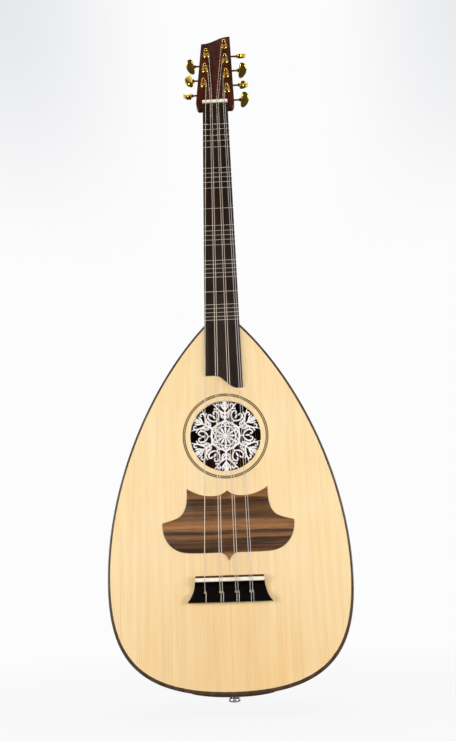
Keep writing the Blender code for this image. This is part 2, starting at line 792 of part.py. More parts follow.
def build_bridge():
    top, foot, tie_top = bridge_span()
    front = BOARD_FRONT - GAP - BRIDGE_HEIGHT
    bridge = front_plate("bridge", [bridge_outline()], front, BRIDGE_HEIGHT, "black_wood")
    bridge = as_mesh(bridge)
    slot_half = SADDLE_THICKNESS / 2 + GAP
    saddle_z = down(SCALE_LENGTH)
    reach = BRIDGE_FOOT_WIDTH
    slot_floor = BOARD_FRONT - GAP - SADDLE_SLOT_FLOOR
    valley_floor = BOARD_FRONT - GAP - BRIDGE_VALLEY_HEIGHT
    slot = box_mesh(
        "saddle_slot",
        (-reach, front - BRIDGE_HEIGHT, saddle_z - slot_half),
        (reach, slot_floor, saddle_z + slot_half),
    )
    valley_top = saddle_z - slot_half - BRIDGE_LIP
    valley = [
        Vector((front - GAP, valley_top)),
        Vector((valley_floor, valley_top - (valley_floor - front))),
        Vector((valley_floor, tie_top)),
        Vector((front - GAP, tie_top)),
    ]
    boolean(bridge, add_cutter("saddle_slot", slot))
    curve = flat_curve("bridge_valley", [valley], 2 * reach)
    boolean(bridge, as_mesh(add_cutter("bridge_valley", curve, DRAWN_FROM_SIDE)))
    places = [
        Matrix.Translation((saddle_x, tie_hole_front(), (foot + tie_top) / 2))
        for _, _, saddle_x, _ in string_sides()
    ]
    holes = rods_mesh("tie_holes", TIE_HOLE_RADIUS, 2 * TIE_BLOCK_LENGTH, TIE_HOLE_SIDES, places)
    boolean(bridge, add_cutter("tie_holes", holes))
    build_saddle(slot_floor)


def tie_hole_front():
    return BOARD_FRONT - GAP - TIE_HOLE_HEIGHT


def build_saddle(slot_floor):
    half = BRIDGE_TOP_WIDTH / 2 + SADDLE_OVERHANG
    middle = down(SCALE_LENGTH)
    saddle = box_mesh(
        "saddle",
        (-half, BOARD_FRONT - SADDLE_HEIGHT, middle - SADDLE_THICKNESS / 2),
        (half, slot_floor - GAP, middle + SADDLE_THICKNESS / 2),
    )
    bevel(add("saddle", saddle, "bone"), SADDLE_CROWN, 2)


def neck_half_width(distance):
    """Half the neck's and fingerboard's width at a distance down from the nut."""
    growth = (NECK_WIDTH_AT_BODY - NECK_WIDTH_AT_NUT) / JOINT_DOWN
    return (NECK_WIDTH_AT_NUT + growth * distance) / 2


def head_foot_depth():
    """Depth of the headstock where the neck meets its foot."""
    below = HEAD_FOOT_BELOW_NUT + NUT_THICKNESS
    return HEAD_THICKNESS / math.cos(HEAD_TILT) - below * math.tan(HEAD_TILT)


def build_neck():
    """A D-shaped section that matches the bowl's end, tapered and swept up to the headstock."""
    half = neck_half_width(JOINT_DOWN)
    rounded = [
        Vector(
            (
                half * math.cos(index * RIB_ANGLE),
                BOWL_FRONT + half * math.sin(index * RIB_ANGLE),
            )
        )
        for index in range(RIB_COUNT + 1)
    ]
    section = [Vector((half, BOARD_FRONT)), *rounded, Vector((-half, BOARD_FRONT))]
    foot_depth = head_foot_depth()
    rings = [(JOINT_DOWN - GAP, BOWL_FRONT + half - BOARD_FRONT)]
    for step in range(NECK_SWEEP_STEPS + 1):
        share = step / NECK_SWEEP_STEPS
        swept = (1 + math.cos(math.pi * share)) / 2
        distance = HEAD_FOOT_BELOW_NUT + GAP + NECK_SWEEP_LENGTH * (1 - share)
        rings.append((distance, foot_depth + (NECK_DEPTH_AT_NUT - foot_depth) * swept))
    full_depth = rings[0][1]
    shape = bmesh.new()
    loops = []
    for distance, depth in rings:
        narrower = neck_half_width(distance) / half
        shallower = depth / full_depth
        ring = [
            shape.verts.new(
                (
                    point.x * narrower,
                    BOARD_FRONT + (point.y - BOARD_FRONT) * shallower,
                    down(distance),
                )
            )
            for point in section
        ]
        loops.append([shape.edges.new((a, b)) for a, b in zip(ring, ring[1:] + ring[:1])])
    for lower, upper in zip(loops, loops[1:]):
        bmesh.ops.bridge_loops(shape, edges=lower + upper)
    bmesh.ops.holes_fill(shape, edges=loops[0] + loops[-1], sides=0)
    bmesh.ops.recalc_face_normals(shape, faces=shape.faces)
    add("neck", mesh_of(shape, "neck"), "neck_wood")


def build_fingerboard():
    """Tapered board that ends in a step over the soundboard, with its frets across it."""
    left_down = JOINT_DOWN + FINGERBOARD_LEFT_OVER_BODY
    right_down = JOINT_DOWN + FINGERBOARD_RIGHT_OVER_BODY
    left_end = Vector((-neck_half_width(left_down), down(left_down)))
    right_end = Vector((neck_half_width(right_down), down(right_down)))
    step_start = Vector((FINGERBOARD_STEP_START, left_end.y))
    step_end = Vector((FINGERBOARD_STEP_END, right_end.y))
    reach = Vector(((step_end.x - step_start.x) * FINGERBOARD_STEP_FULLNESS, 0.0))
    curl = (step_end, step_end - reach, step_start + reach, step_start)
    step = bezier_run([curl], FINGERBOARD_STEP_POINTS)
    nut_half = neck_half_width(0.0)
    outline = [
        Vector((nut_half, down(GAP))),
        right_end,
        *step,
        left_end,
        Vector((-nut_half, down(GAP))),
    ]
    board = front_plate(
        "fingerboard", [outline], FINGERBOARD_FRONT, FINGERBOARD_THICKNESS, "fingerboard_wood"
    )
    board = as_mesh(board)
    fret_y = FINGERBOARD_FRONT - FRET_DIAMETER / 2 + FRET_SEAT
    shape = bmesh.new()
    for commas in FRET_COMMAS:
        distance = (SCALE_LENGTH - SADDLE_SETBACK) * (1 - 2 ** (-commas / COMMAS_IN_OCTAVE))
        length = 2 * neck_half_width(distance) + FRET_DIAMETER
        place = Matrix.Translation((0.0, fret_y, down(distance))) @ ALONG_X
        add_rod(shape, FRET_DIAMETER / 2, length, FRET_SIDES, place)
    boolean(board, add_cutter("fret_bars", mesh_of(shape, "fret_bars")), "UNION")


def build_nut():
    top = FINGERBOARD_FRONT - NUT_ACTION - NUT_NOTCH_DEPTH
    half = neck_half_width(0.0) + GAP
    block = box_mesh("nut", (-half, top, NUT_Z), (half, BOARD_FRONT - GAP, NUT_Z + NUT_THICKNESS))
    nut = add("nut", block, "bone")
    bevel(nut, NUT_EDGE, 1)
    shape = bmesh.new()
    for radius, nut_x, _, _ in string_sides():
        place = Matrix.Translation((nut_x, string_front_at_nut(radius), NUT_Z))
        add_rod(shape, radius + GAP, 3 * NUT_THICKNESS, NOTCH_SIDES, place)
    boolean(nut, add_cutter("nut_notches", mesh_of(shape, "nut_notches")))


def string_front_at_nut(radius):
    return FINGERBOARD_FRONT - NUT_ACTION - radius


def post_places():
    """Middle of each post on the headstock's face, by side and counted up from the nut."""
    half = HEAD_WIDTH_AT_FOOT / 2
    places = {}
    for side, count, first in (
        ("left", POSTS_AT_LEFT, LEFT_FIRST_POST),
        ("right", POSTS_AT_RIGHT, RIGHT_FIRST_POST),
    ):
        corner = HEAD_LEFT_CORNER if side == "left" else HEAD_RIGHT_CORNER
        sign = -1 if side == "left" else 1
        for index in range(count):
            height = first + index * POST_PITCH
            edge = half + (abs(corner.x) - half) * height / corner.y
            places[side, index] = Vector((sign * (edge - POST_INSET), height))
    return places


def head_outline():
    """The headstock's face: rounded shoulders at the foot, straight sides, a curled top edge."""
    foot = -(HEAD_FOOT_BELOW_NUT + NUT_THICKNESS) / math.cos(HEAD_TILT)
    half = HEAD_WIDTH_AT_FOOT / 2
    neck = neck_half_width(HEAD_FOOT_BELOW_NUT)
    below = Vector((neck, foot - HEAD_THICKNESS))
    start = Vector((neck, foot))
    end = Vector((half, foot + HEAD_SHOULDER_LENGTH))
    corner_x = Vector(((half - neck) * 0.8, 0.0))
    corner_y = Vector((0.0, HEAD_SHOULDER_LENGTH * 0.6))
    shoulder = bezier_run([(start, start + corner_x, end - corner_y, end)], HEAD_SHOULDER_POINTS)
    sweep = Vector(((HEAD_RIGHT_CORNER.x - HEAD_LEFT_CORNER.x) * HEAD_TOP_SWEEP, 0.0))
    lift = Vector((0.0, HEAD_TOP_LIFT))
    top = (
        HEAD_RIGHT_CORNER,
        HEAD_RIGHT_CORNER - sweep - lift,
        HEAD_LEFT_CORNER + sweep + lift,
        HEAD_LEFT_CORNER,
    )
    left_shoulder = [Vector((-point.x, point.y)) for point in reversed([below, *shoulder])]
    return [below, *shoulder, *bezier_run([top], HEAD_TOP_POINTS), *left_shoulder]


def build_headstock():
    plate = flat_curve("headstock", [head_outline()], HEAD_THICKNESS)
    place = HEAD_FRAME @ Matrix.Translation((0.0, 0.0, -HEAD_THICKNESS / 2))
    head = as_mesh(add("headstock", plate, "head_wood", place))
    bevel(head, HEAD_EDGE, 1)
    reach = HEAD_WIDTH_AT_FOOT
    foot = down(HEAD_FOOT_BELOW_NUT)
    level = box_mesh(
        "level_cut",
        (-reach, BOARD_FRONT - reach, foot - reach),
        (reach, BOARD_FRONT, NUT_Z + NUT_THICKNESS),
    )
    end = box_mesh(
        "foot_cut", (-reach, BOARD_FRONT - reach, foot - reach), (reach, BOARD_FRONT + reach, foot)
    )
    boolean(head, add_cutter("level_cut", level))
    boolean(head, add_cutter("foot_cut", end))
    holes = [Matrix.Translation((*place, 0.0)) for place in post_places().values()]
    radius = BARREL_RADIUS + GAP
    mesh = rods_mesh("post_holes", radius, 3 * HEAD_THICKNESS, POST_SIDES, holes)
    boolean(head, add_cutter("post_holes", mesh, HEAD_FRAME))


def housing_mesh():
    """Gear case at the head's back, open towards the nut, with its barrel and bushing in front."""
    back = -HEAD_THICKNESS - GAP
    rear = back - HOUSING_DEPTH
    case = add_cutter(
        "case",
        box_mesh(
            "case",
            (-HOUSING_INNER_SIDE, -HOUSING_TO_NUT, rear),
            (HOUSING_OUTER_SIDE, HOUSING_TO_TIP, back),
        ),
    )
    bevel(case, HOUSING_EDGE, 1)
    barrel_profile = (
        (0.0, GAP + BUSHING_HEIGHT),
        (BUSHING_RADIUS - BUSHING_HEIGHT / 3, GAP + BUSHING_HEIGHT),
        (BUSHING_RADIUS, GAP + BUSHING_HEIGHT * 2 / 3),
        (BUSHING_RADIUS, GAP),
        (BARREL_RADIUS, GAP),
        (BARREL_RADIUS, back - HOUSING_WALL / 2),
        (0.0, back - HOUSING_WALL / 2),
    )
    barrel = turned("barrel", barrel_profile, POST_SIDES)
    lug = add_cutter(
        "lug",
        box_mesh(
            "lug",
            (-LUG_WIDTH / 2, 0.0, back - LUG_THICKNESS),
            (LUG_WIDTH / 2, HOUSING_TO_TIP + LUG_LENGTH, back - GAP),
        ),
    )
    cavity = add_cutter(
        "cavity",
        box_mesh(
            "cavity",
            (-HOUSING_INNER_SIDE + HOUSING_WALL, -2 * HOUSING_TO_NUT, rear + HOUSING_WALL),
            (HOUSING_OUTER_SIDE - HOUSING_WALL, HOUSING_TO_TIP - HOUSING_WALL, back - HOUSING_WALL),
        ),
    )
    bore = add_cutter(
        "bore", rod_mesh("bore", POST_RADIUS + GAP, -2 * (back - HOUSING_WALL - GAP), POST_SIDES)
    )
    shaft = add_cutter(
        "shaft_way",
        rod_mesh("shaft_way", KEY_SHAFT_RADIUS + GAP, 2 * HOUSING_OUTER_SIDE, KEY_SIDES),
        Matrix.Translation((HOUSING_OUTER_SIDE, -worm_offset(), worm_height())) @ ALONG_X,
    )
    boolean(case, barrel, "UNION")
    boolean(case, lug, "UNION")
    for cutter in (cavity, bore, shaft):
        boolean(case, cutter)
    case = as_mesh(case)
    mesh = case.data
    for helper in (case, barrel, lug, cavity, bore, shaft):
        bpy.data.objects.remove(helper, do_unlink=True)
    return mesh


def worm_offset():
    """Distance from the post's axis to the worm's."""
    return GEAR_RADIUS + WORM_RADIUS + GAP


def worm_height():
    return -HEAD_THICKNESS - WORM_DEPTH


def post_mesh():
    """String post: head, waist for the windings, journal, and the toothed gear on its spindle."""
    floor = -HEAD_THICKNESS - HOUSING_DEPTH + HOUSING_WALL
    neck = -HEAD_THICKNESS - GAP - HOUSING_WALL - GAP
    profile = (
        (0.0, POST_HEIGHT),
        (POST_HEAD_RADIUS - POST_EDGE, POST_HEIGHT),
        (POST_HEAD_RADIUS, POST_HEIGHT - POST_EDGE),
        (POST_HEAD_RADIUS, POST_WAIST_END + POST_EDGE),
        (POST_WAIST_RADIUS, POST_WAIST_END),
        (POST_WAIST_RADIUS, POST_WAIST_START),
        (POST_RADIUS, POST_WAIST_START),
        (POST_RADIUS, neck),
        (SPINDLE_RADIUS, neck),
        (SPINDLE_RADIUS, floor),
        (0.0, floor),
    )
    post = turned("post", profile, POST_SIDES)
    outline = []
    for tooth in range(GEAR_TEETH):
        middle = 2 * math.pi * tooth / GEAR_TEETH
        half_gap = math.pi / GEAR_TEETH
        outline.append(Vector((math.cos(middle), math.sin(middle))) * GEAR_RADIUS)
        valley = middle + half_gap
        outline.append(Vector((math.cos(valley), math.sin(valley))) * GEAR_ROOT_RADIUS)
    curve = flat_curve("gear", [outline], GEAR_THICKNESS)
    gear = as_mesh(add_cutter("gear", curve, Matrix.Translation((0.0, 0.0, worm_height()))))
    hole = add_cutter(
        "string_hole",
        rod_mesh("string_hole", STRING_HOLE_RADIUS, 4 * POST_RADIUS, STRING_HOLE_SIDES),
        Matrix.Translation((0.0, 0.0, STRING_HOLE_HEIGHT)) @ ALONG_X,
    )
    boolean(post, gear, "UNION")
    boolean(post, hole)
    post = as_mesh(post)
    mesh = post.data
    for helper in (post, gear, hole):
        bpy.data.objects.remove(helper, do_unlink=True)
    return mesh


def kidney_outline():
    """A bean across the shaft: flat on the shaft's side, its bulge outward and towards the tip."""
    half_length = BUTTON_LENGTH / 2 - BUTTON_ROUNDING
    phases = [2 * math.pi * index / BUTTON_POINTS for index in range(BUTTON_POINTS)]
    raw = [
        math.cos(phase - BUTTON_LEAN) + BUTTON_FLATNESS * math.cos(2 * phase) for phase in phases
    ]
    scale = (BUTTON_WIDTH - 2 * BUTTON_ROUNDING) / (max(raw) - min(raw))
    middle = (max(raw) + min(raw)) / 2
    return [
        Vector((BUTTON_CENTRE + (value - middle) * scale, half_length * math.sin(phase)))
        for value, phase in zip(raw, phases)
    ]


def key_mesh():
    """Kidney button, collar, shaft and worm in one, turned about X through the post's axis."""
    inner_edge = BUTTON_CENTRE - BUTTON_WIDTH / 2
    worm_half = WORM_THREADS * WORM_PITCH / 2
    inner_end = -HOUSING_INNER_SIDE + HOUSING_WALL + GAP
    profile = [
        (0.0, BUTTON_CENTRE),
        (KEY_SHAFT_RADIUS, BUTTON_CENTRE),
        (KEY_SHAFT_RADIUS, inner_edge + KEY_COLLAR_LENGTH / 2),
        (KEY_COLLAR_RADIUS, inner_edge + KEY_COLLAR_LENGTH / 2),
        (KEY_COLLAR_RADIUS, inner_edge - KEY_COLLAR_LENGTH / 2),
        (KEY_SHAFT_RADIUS, inner_edge - KEY_COLLAR_LENGTH),
        (KEY_SHAFT_RADIUS, worm_half + WORM_PITCH / 2),
    ]
    for index in range(2 * WORM_THREADS + 1):
        radius = WORM_RADIUS if index % 2 else WORM_ROOT_RADIUS
        profile.append((radius, worm_half - index * WORM_PITCH / 2))
    profile += [(WORM_ROOT_RADIUS, inner_end), (0.0, inner_end)]
    shaft = turned("shaft", profile, KEY_SIDES)
    shaft.matrix_world = ALONG_X
    curve = flat_curve("button", [kidney_outline()], BUTTON_THICKNESS - 2 * BUTTON_ROUNDING)
    curve.bevel_depth = BUTTON_ROUNDING
    curve.bevel_resolution = 1
    button = as_mesh(add_cutter("button", curve))
    shaft = as_mesh(shaft)
    boolean(button, shaft, "UNION")
    button = as_mesh(button)
    mesh = button.data
    for helper in (button, shaft):
        bpy.data.objects.remove(helper, do_unlink=True)
    return mesh


def mirror_of(mesh, name):
    """The same piece for the other side of the headstock."""
    shape = bmesh.new()
    shape.from_mesh(mesh)
    bmesh.ops.scale(shape, vec=(-1.0, 1.0, 1.0), verts=shape.verts)
    bmesh.ops.reverse_faces(shape, faces=shape.faces)
    return mesh_of(shape, name)


def build_tuners():
    housing, post, key = housing_mesh(), post_mesh(), key_mesh()
    meshes = {
        "right": (housing, key, RIGHT_KEY_TURNS),
        "left": (mirror_of(housing, "housing_left"), mirror_of(key, "key_left"), LEFT_KEY_TURNS),
    }
    for (side, index), place in post_places().items():
        name = f"{side}_{index + 1}"
        housing, key, turns = meshes[side]
        frame = HEAD_FRAME @ Matrix.Translation((*place, 0.0))
        axis = frame @ Matrix.Translation((0.0, -worm_offset(), worm_height()))
        turn = Matrix.Rotation(math.radians(turns[index]), 4, "X")
        smooth(add(f"tuner_housing_{name}", housing, "gold", frame))
        smooth(add(f"string_post_{name}", post, "gold", frame))
        smooth(add(f"tuner_key_{name}", key, "gold", axis @ turn))


def tie_route(radius, x):
    """The string's tail: a knot on the tie block, over it, and up through its hole."""
    _, foot, tie_top = bridge_span()
    clear = radius + GAP
    beside = 2 * radius + TIE_LOOP_SPACE
    front = BOARD_FRONT - GAP - BRIDGE_HEIGHT
    hole = tie_hole_front()
    slant = clear * math.sqrt(0.5)
    return [
        Vector((x + beside, (front + hole) / 2, tie_top + clear)),
        Vector((x + beside, front, tie_top + clear)),
        Vector((x + beside, front - slant, tie_top + slant)),
        Vector((x + beside, front - clear, tie_top)),
        Vector((x + beside * 0.7, front - clear, foot)),
        Vector((x + beside * 0.5, front, foot - clear)),
        Vector((x, hole - clear / 2, foot - clear)),
        Vector((x, hole, foot - clear / 2)),
        Vector((x, hole, tie_top)),
    ]


def winding_route(radius, start, post, side):
    """From the nut to the post's inner side, then round its waist in a rising helix."""
    circle_radius = POST_WAIST_RADIUS + GAP + radius
    towards = Vector((start.x - post.x, start.y - post.y))
    sign = 1 if side == "left" else -1
    swing = math.acos(circle_radius / towards.length)
    first = math.atan2(towards.y, towards.x) + sign * swing
    pitch = 2 * radius + WINDING_SPACE
    steps = int(WINDING_TURNS * WINDING_POINTS_A_TURN)
    route = []
    for step in range(steps + 1):
        turn = step / WINDING_POINTS_A_TURN
        angle = first + sign * 2 * math.pi * turn
        route.append(
            Vector(
                (
                    post.x + circle_radius * math.cos(angle),
                    post.y + circle_radius * math.sin(angle),
                    WINDING_START_HEIGHT + turn * pitch,
                )
            )
        )
    return route


def least_gap(route, radius):
    """Smallest space between a winding's own turns, measured on its points."""
    turn = WINDING_POINTS_A_TURN
    spaces = [
        (route[later] - route[earlier]).length
        for earlier in range(len(route))
        for later in range(earlier + turn // 2, len(route))
    ]
    return min(spaces) - 2 * radius


def build_strings():
    places = post_places()
    to_head = HEAD_FRAME.inverted()
    for number, (radius, nut_x, saddle_x, post) in enumerate(string_sides(), start=1):
        nut_y = string_front_at_nut(radius)
        saddle_y = BOARD_FRONT - SADDLE_HEIGHT - GAP - radius
        saddle_z = down(SCALE_LENGTH)
        nut_top = Vector((nut_x, nut_y, NUT_Z + NUT_THICKNESS))
        winding = winding_route(radius, to_head @ nut_top, places[post], post[0])
        print(f"string_{number} winding: least gap to itself {least_gap(winding, radius) * 1000:.2f} mm")
        route = tie_route(radius, saddle_x)
        route += [
            Vector((saddle_x, saddle_y, saddle_z - SADDLE_THICKNESS / 4)),
            Vector((saddle_x, saddle_y, saddle_z + SADDLE_THICKNESS / 4)),
            Vector((nut_x, nut_y, NUT_Z)),
            nut_top,
        ]
        route += [HEAD_FRAME @ point for point in winding]
        finish_name = "wound_string" if radius > PLAIN_STRING_RADIUS else "plain_string"
        add(f"string_{number}", string_curve(f"string_{number}", route, radius), finish_name)


def string_curve(name, route, radius):
    curve = bpy.data.curves.new(name, "CURVE")
    curve.dimensions = "3D"
    curve.bevel_depth = radius
    curve.bevel_resolution = 1
    curve.use_fill_caps = True
    spline = curve.splines.new("POLY")
    spline.points.add(len(route) - 1)
    for point, place in zip(spline.points, route):
        point.co = (*place, 1.0)
    return curve


def build():
    clear_scene()
    build_soundboard()
    build_bowl()
    build_end_pin()
    build_rosette()
    build_braces()
    build_pickguard()
    build_bridge()
    build_neck()
    build_fingerboard()
    build_nut()
    build_headstock()
    build_tuners()
    build_strings()


build()
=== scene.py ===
"""Visual model of a lavta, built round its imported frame.

Units are metres.  +X is to the right as the strings are faced, +Z runs up the neck and -Y is the
front.  The origin is the middle of the end pin's outer face.
"""

import json
import math

import bmesh
import bpy
from mathutils import Matrix, Vector
from mathutils.geometry import interpolate_bezier


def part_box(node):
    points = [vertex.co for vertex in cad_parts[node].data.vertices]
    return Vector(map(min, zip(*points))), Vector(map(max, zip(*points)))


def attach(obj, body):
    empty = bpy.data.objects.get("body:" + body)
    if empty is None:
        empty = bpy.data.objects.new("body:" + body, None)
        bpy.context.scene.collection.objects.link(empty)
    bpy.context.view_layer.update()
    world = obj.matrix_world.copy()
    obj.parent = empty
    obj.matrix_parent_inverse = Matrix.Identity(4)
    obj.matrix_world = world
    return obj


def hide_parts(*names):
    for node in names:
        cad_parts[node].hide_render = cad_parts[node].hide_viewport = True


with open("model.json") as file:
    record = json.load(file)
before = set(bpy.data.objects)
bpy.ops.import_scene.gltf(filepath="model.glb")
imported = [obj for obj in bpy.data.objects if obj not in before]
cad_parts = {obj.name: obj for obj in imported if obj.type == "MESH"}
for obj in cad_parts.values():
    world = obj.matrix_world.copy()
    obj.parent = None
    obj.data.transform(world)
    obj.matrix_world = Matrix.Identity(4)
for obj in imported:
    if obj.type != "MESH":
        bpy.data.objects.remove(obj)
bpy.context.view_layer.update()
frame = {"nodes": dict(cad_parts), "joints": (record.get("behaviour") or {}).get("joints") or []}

# Clearance between pieces that touch, the distance under which points are one, and the ribs' inset
GAP = 0.0003
WELD = 0.000005
SKIN = 0.00004

# Strings, nut and body outline
SCALE_LENGTH = 0.696
SADDLE_SETBACK = 0.006
NUT_THICKNESS = 0.005
NUT_ACTION = 0.0013
JOINT_DOWN = 0.3505
BODY_LENGTH = 0.4866
BODY_WIDTH = 0.319
WIDEST_ABOVE_TAIL = 0.1495
SHOULDER_ANGLE = math.radians(44.0)
SHOULDER_FULLNESS = 0.294
FLANK_FULLNESS = 0.396
HIP_FULLNESS = 0.608
TAIL_FULLNESS = 0.836
RIM_STEPS = 40
NUT_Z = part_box("nut")[0].z
TAIL_Z = NUT_Z - JOINT_DOWN - BODY_LENGTH

# Layers from the front backwards
BOARD_FRONT = -0.0300
BOARD_THICKNESS = 0.0022
BOWL_FRONT = BOARD_FRONT + BOARD_THICKNESS + GAP
FINGERBOARD_THICKNESS = 0.0030
FINGERBOARD_FRONT = BOARD_FRONT - GAP - FINGERBOARD_THICKNESS

# Bowl, with pale lines between its ribs
RIB_COUNT = 13
RIB_ANGLE = math.pi / RIB_COUNT
RIB_THICKNESS = 0.0024
RIB_END_RADIUS = 0.009
LINE_WIDTH = 0.0007
LINE_DEPTH = 0.0012
CLASP_RADIUS = 0.052
CLASP_THICKNESS = 0.0015
CLASP_EDGE_SHARE = 0.15

# Soundboard, its edge and its rosette
EDGE_WIDTH_AT_SHOULDER = 0.0032
EDGE_WIDTH_AT_TAIL = 0.0049
EDGE_LINE_WIDTH = 0.0006
EDGE_ROUNDING = 0.0014
SOUND_HOLE_RADIUS = 0.0482
SOUND_HOLE_Z = NUT_Z - JOINT_DOWN - 0.1575
RING_OUTER_RADIUS = 0.0581
RING_WIDTH = 0.0036
RING_DEPTH = 0.0010
RING_STRANDS = 190
ROSETTE_THICKNESS = 0.0014
ROSETTE_MARGIN = 0.0045

# Neck and fingerboard
NECK_WIDTH_AT_BODY = 0.0493
NECK_WIDTH_AT_NUT = 0.0376
NECK_DEPTH_AT_NUT = 0.0190
NECK_SWEEP_LENGTH = 0.0300
FINGERBOARD_LEFT_DOWN = JOINT_DOWN + 0.0740
FINGERBOARD_RIGHT_DOWN = JOINT_DOWN + 0.0920
FINGERBOARD_STEP = (-0.0114, 0.0180)
FINGERBOARD_EDGE = 0.0004
FRET_RADIUS = 0.00052
FRET_SINK = 0.0001
FRET_KNOT_RADIUS = 0.00115
FRET_KNOT_SHAPE = (0.8, 1.25, 0.9)
FRET_END_BENDS = ((0.0, 0.0012, 0.0012), (0.0008, 0.0018, 0.0018))
COMMAS_IN_OCTAVE = 53
FRET_COMMAS = (
    *(4.1, 5.1, 6.3, 7.4, 8.7),
    *(13.1, 14.2, 15.1, 16.2, 17.5),
    22.2,
    *(26.3, 27.6, 28.7, 29.9, 31.2),
    *(35.3, 36.3, 37.5, 38.7, 39.9),
    44.1,
    *(48.0, 49.2, 50.5, 51.8, 52.9),
)

# Headstock, whose own frame is x across, y up its face and z out of its face
HEAD_TILT = math.radians(8.5)
HEAD_THICKNESS = 0.0110
HEAD_BACK = -HEAD_THICKNESS - GAP
HEAD_WIDTH_AT_FOOT = 0.0580
HEAD_FOOT_BELOW_NUT = 0.0078
HEAD_LEFT_CORNER = Vector((-0.0200, 0.1154))
HEAD_RIGHT_CORNER = Vector((0.0252, 0.1282))
HEAD_SHOULDER_LENGTH = 0.0125
HEAD_HOLE_RADIUS = 0.0039
HEAD_EDGE = 0.0007
HEAD_TURN = Matrix.Rotation(math.pi / 2 - HEAD_TILT, 4, "X")
HEAD_FRAME = Matrix.Translation((0.0, BOARD_FRONT, NUT_Z + NUT_THICKNESS)) @ HEAD_TURN

# Bridge and pickguard
BRIDGE_TOP_WIDTH = 0.0880
BRIDGE_FOOT_WIDTH = 0.1100
BRIDGE_LENGTH = 0.0330
BRIDGE_HEIGHT = 0.0080
BRIDGE_SEAT = BOARD_FRONT - GAP
BRIDGE_FRONT = BRIDGE_SEAT - BRIDGE_HEIGHT
BRIDGE_VALLEY_HEIGHT = 0.0040
BRIDGE_LIP = 0.0012
BRIDGE_EDGE = 0.0005
SADDLE_Z = NUT_Z - SCALE_LENGTH
SADDLE_THICKNESS = 0.0050
SADDLE_HEIGHT = 0.0095
SADDLE_SLOT_FLOOR = 0.0030
BRIDGE_TOP = SADDLE_Z + 0.0050
BRIDGE_FOOT = BRIDGE_TOP - BRIDGE_LENGTH
TIE_BLOCK_TOP = BRIDGE_FOOT + 0.0110
TIE_HOLE_FRONT = BRIDGE_SEAT - 0.0045
TIE_HOLE_RADIUS = 0.0009
TIE_LOOP_SPACE = 0.0005
PICKGUARD_THICKNESS = 0.0008
PICKGUARD_EDGE = 0.00025
PICKGUARD_LENGTH = 0.0947
PICKGUARD_WIDTH = 0.1740
PICKGUARD_TOP = BRIDGE_TOP + 0.0183 + PICKGUARD_LENGTH

# Dark streaks of the pickguard's veneer: height above the bridge, reach and strength
VENEER_STREAKS = (
    (0.1100, 0.0100, 0.45),
    (0.0940, 0.0056, 1.00),
    (0.0810, 0.0130, 0.82),
    (0.0545, 0.0030, 1.00),
    (0.0480, 0.0080, 0.60),
    (0.0385, 0.0115, 1.00),
)

# Courses: radius, middle at the nut and at the saddle, number of strings
COURSES = (
    (0.00050, -0.0141, -0.0321, 1),
    (0.00045, -0.0058, -0.0112, 2),
    (0.00040, 0.0038, 0.0090, 2),
    (0.00035, 0.0138, 0.0276, 2),
)
PAIR_SPREAD_AT_NUT = 0.0027
PAIR_SPREAD_AT_SADDLE = 0.0031
STRING_DIP = Vector((0.0, 0.0004, -0.0006))
PLAIN_STRING_RADIUS = 0.00036
WIRE_PITCH = 0.00035
STRING_TUNERS = ("left_1", "left_2", "left_3", "right_4", "right_3", "right_2", "right_1")
TWIST_STEPS = 20
TWIST_TURN = 0.7
TWIST_RISE = 0.00012
TWIST_HALF_WIDTH = 0.0011
TWIST_HALF_DEPTH = 0.0009
TWIST_INSET = 0.0004
STRING_END_ACROSS = (-0.0026, 0.0, 0.0044)
THIN = 0.9

# Tuners, with each key's turn in degrees
POST_RADIUS = 0.0027
POST_WAIST_RADIUS = 0.0021
POST_WAIST_HEIGHT = 0.0101
POST_FOOT_RADIUS = 0.0036
POST_FOOT_HEIGHT = 0.0034
POST_HEAD_RADIUS = 0.0029
POST_HEIGHT = 0.0135
POST_SHOULDER_BEHIND = 0.0018
POST_END_BEHIND = 0.0088
STRING_HOLE_HEIGHT = 0.0091
STRING_HOLE_RADIUS = 0.0008
WINDING_LENGTH = 0.0046
WINDING_SPACE = 0.0001
WINDING_PITCH_SPACE = 0.00004
WINDING_STEPS = 24
WORM_HEIGHT = -0.0160
WORM_RIDGES = 13
WORM_START = 0.0030
WORM_RIDGE_SPACING = 0.0005
GEAR_TEETH = 14
GEAR_TIP_RADIUS = 0.0031
GEAR_ROOT_RADIUS = 0.0025
GEAR_THICKNESS = 0.0034
CASE_WALL = 0.0011
CASE_LOW = (-0.0062, -0.0086)
CASE_HIGH = (0.0078, 0.0058)
CASE_DEPTH = 0.0100
CASE_ROUNDING = 0.0012
LUG_HALF_WIDTH = 0.0035
LUG_START = 0.0059
LUG_END = 0.0120
LUG_THICKNESS = 0.0016
LUG_ROUNDING = 0.0030
SCREW_ALONG = 0.0092
BUTTON_CENTRE = 0.0265
BUTTON_LENGTH = 0.0232
BUTTON_WIDTH = 0.0138
BUTTON_THICKNESS = 0.0074
BUTTON_ROUNDING = 0.0024
BUTTON_POINTS = 44
BUTTON_SKEW = 0.40
BUTTON_HOLLOW = 0.26
KEY_TURNS = {
    "left_1": -35.0,
    "left_2": -10.0,
    "left_3": 45.0,
    "right_1": 40.0,
    "right_2": -31.0,
    "right_3": 48.0,
    "right_4": -45.0,
}
JOINT_PLACES = {joint["child"]: Vector(joint["pos_m"]) for joint in frame["joints"]}

PIN_LENGTH = 0.0105


# Small tools for shapes


def run(knots, steps):
    """Points along joined Bezier stretches, given as knot, handle, handle, knot, handle and so on."""
    points = []
    for first in range(0, len(knots) - 1, 3):
        corners = [Vector(corner) for corner in knots[first:first + 4]]
        piece = [Vector(p[:2]) for p in interpolate_bezier(*corners, steps + 1)]
        points += piece[1:] if points else piece
    return points


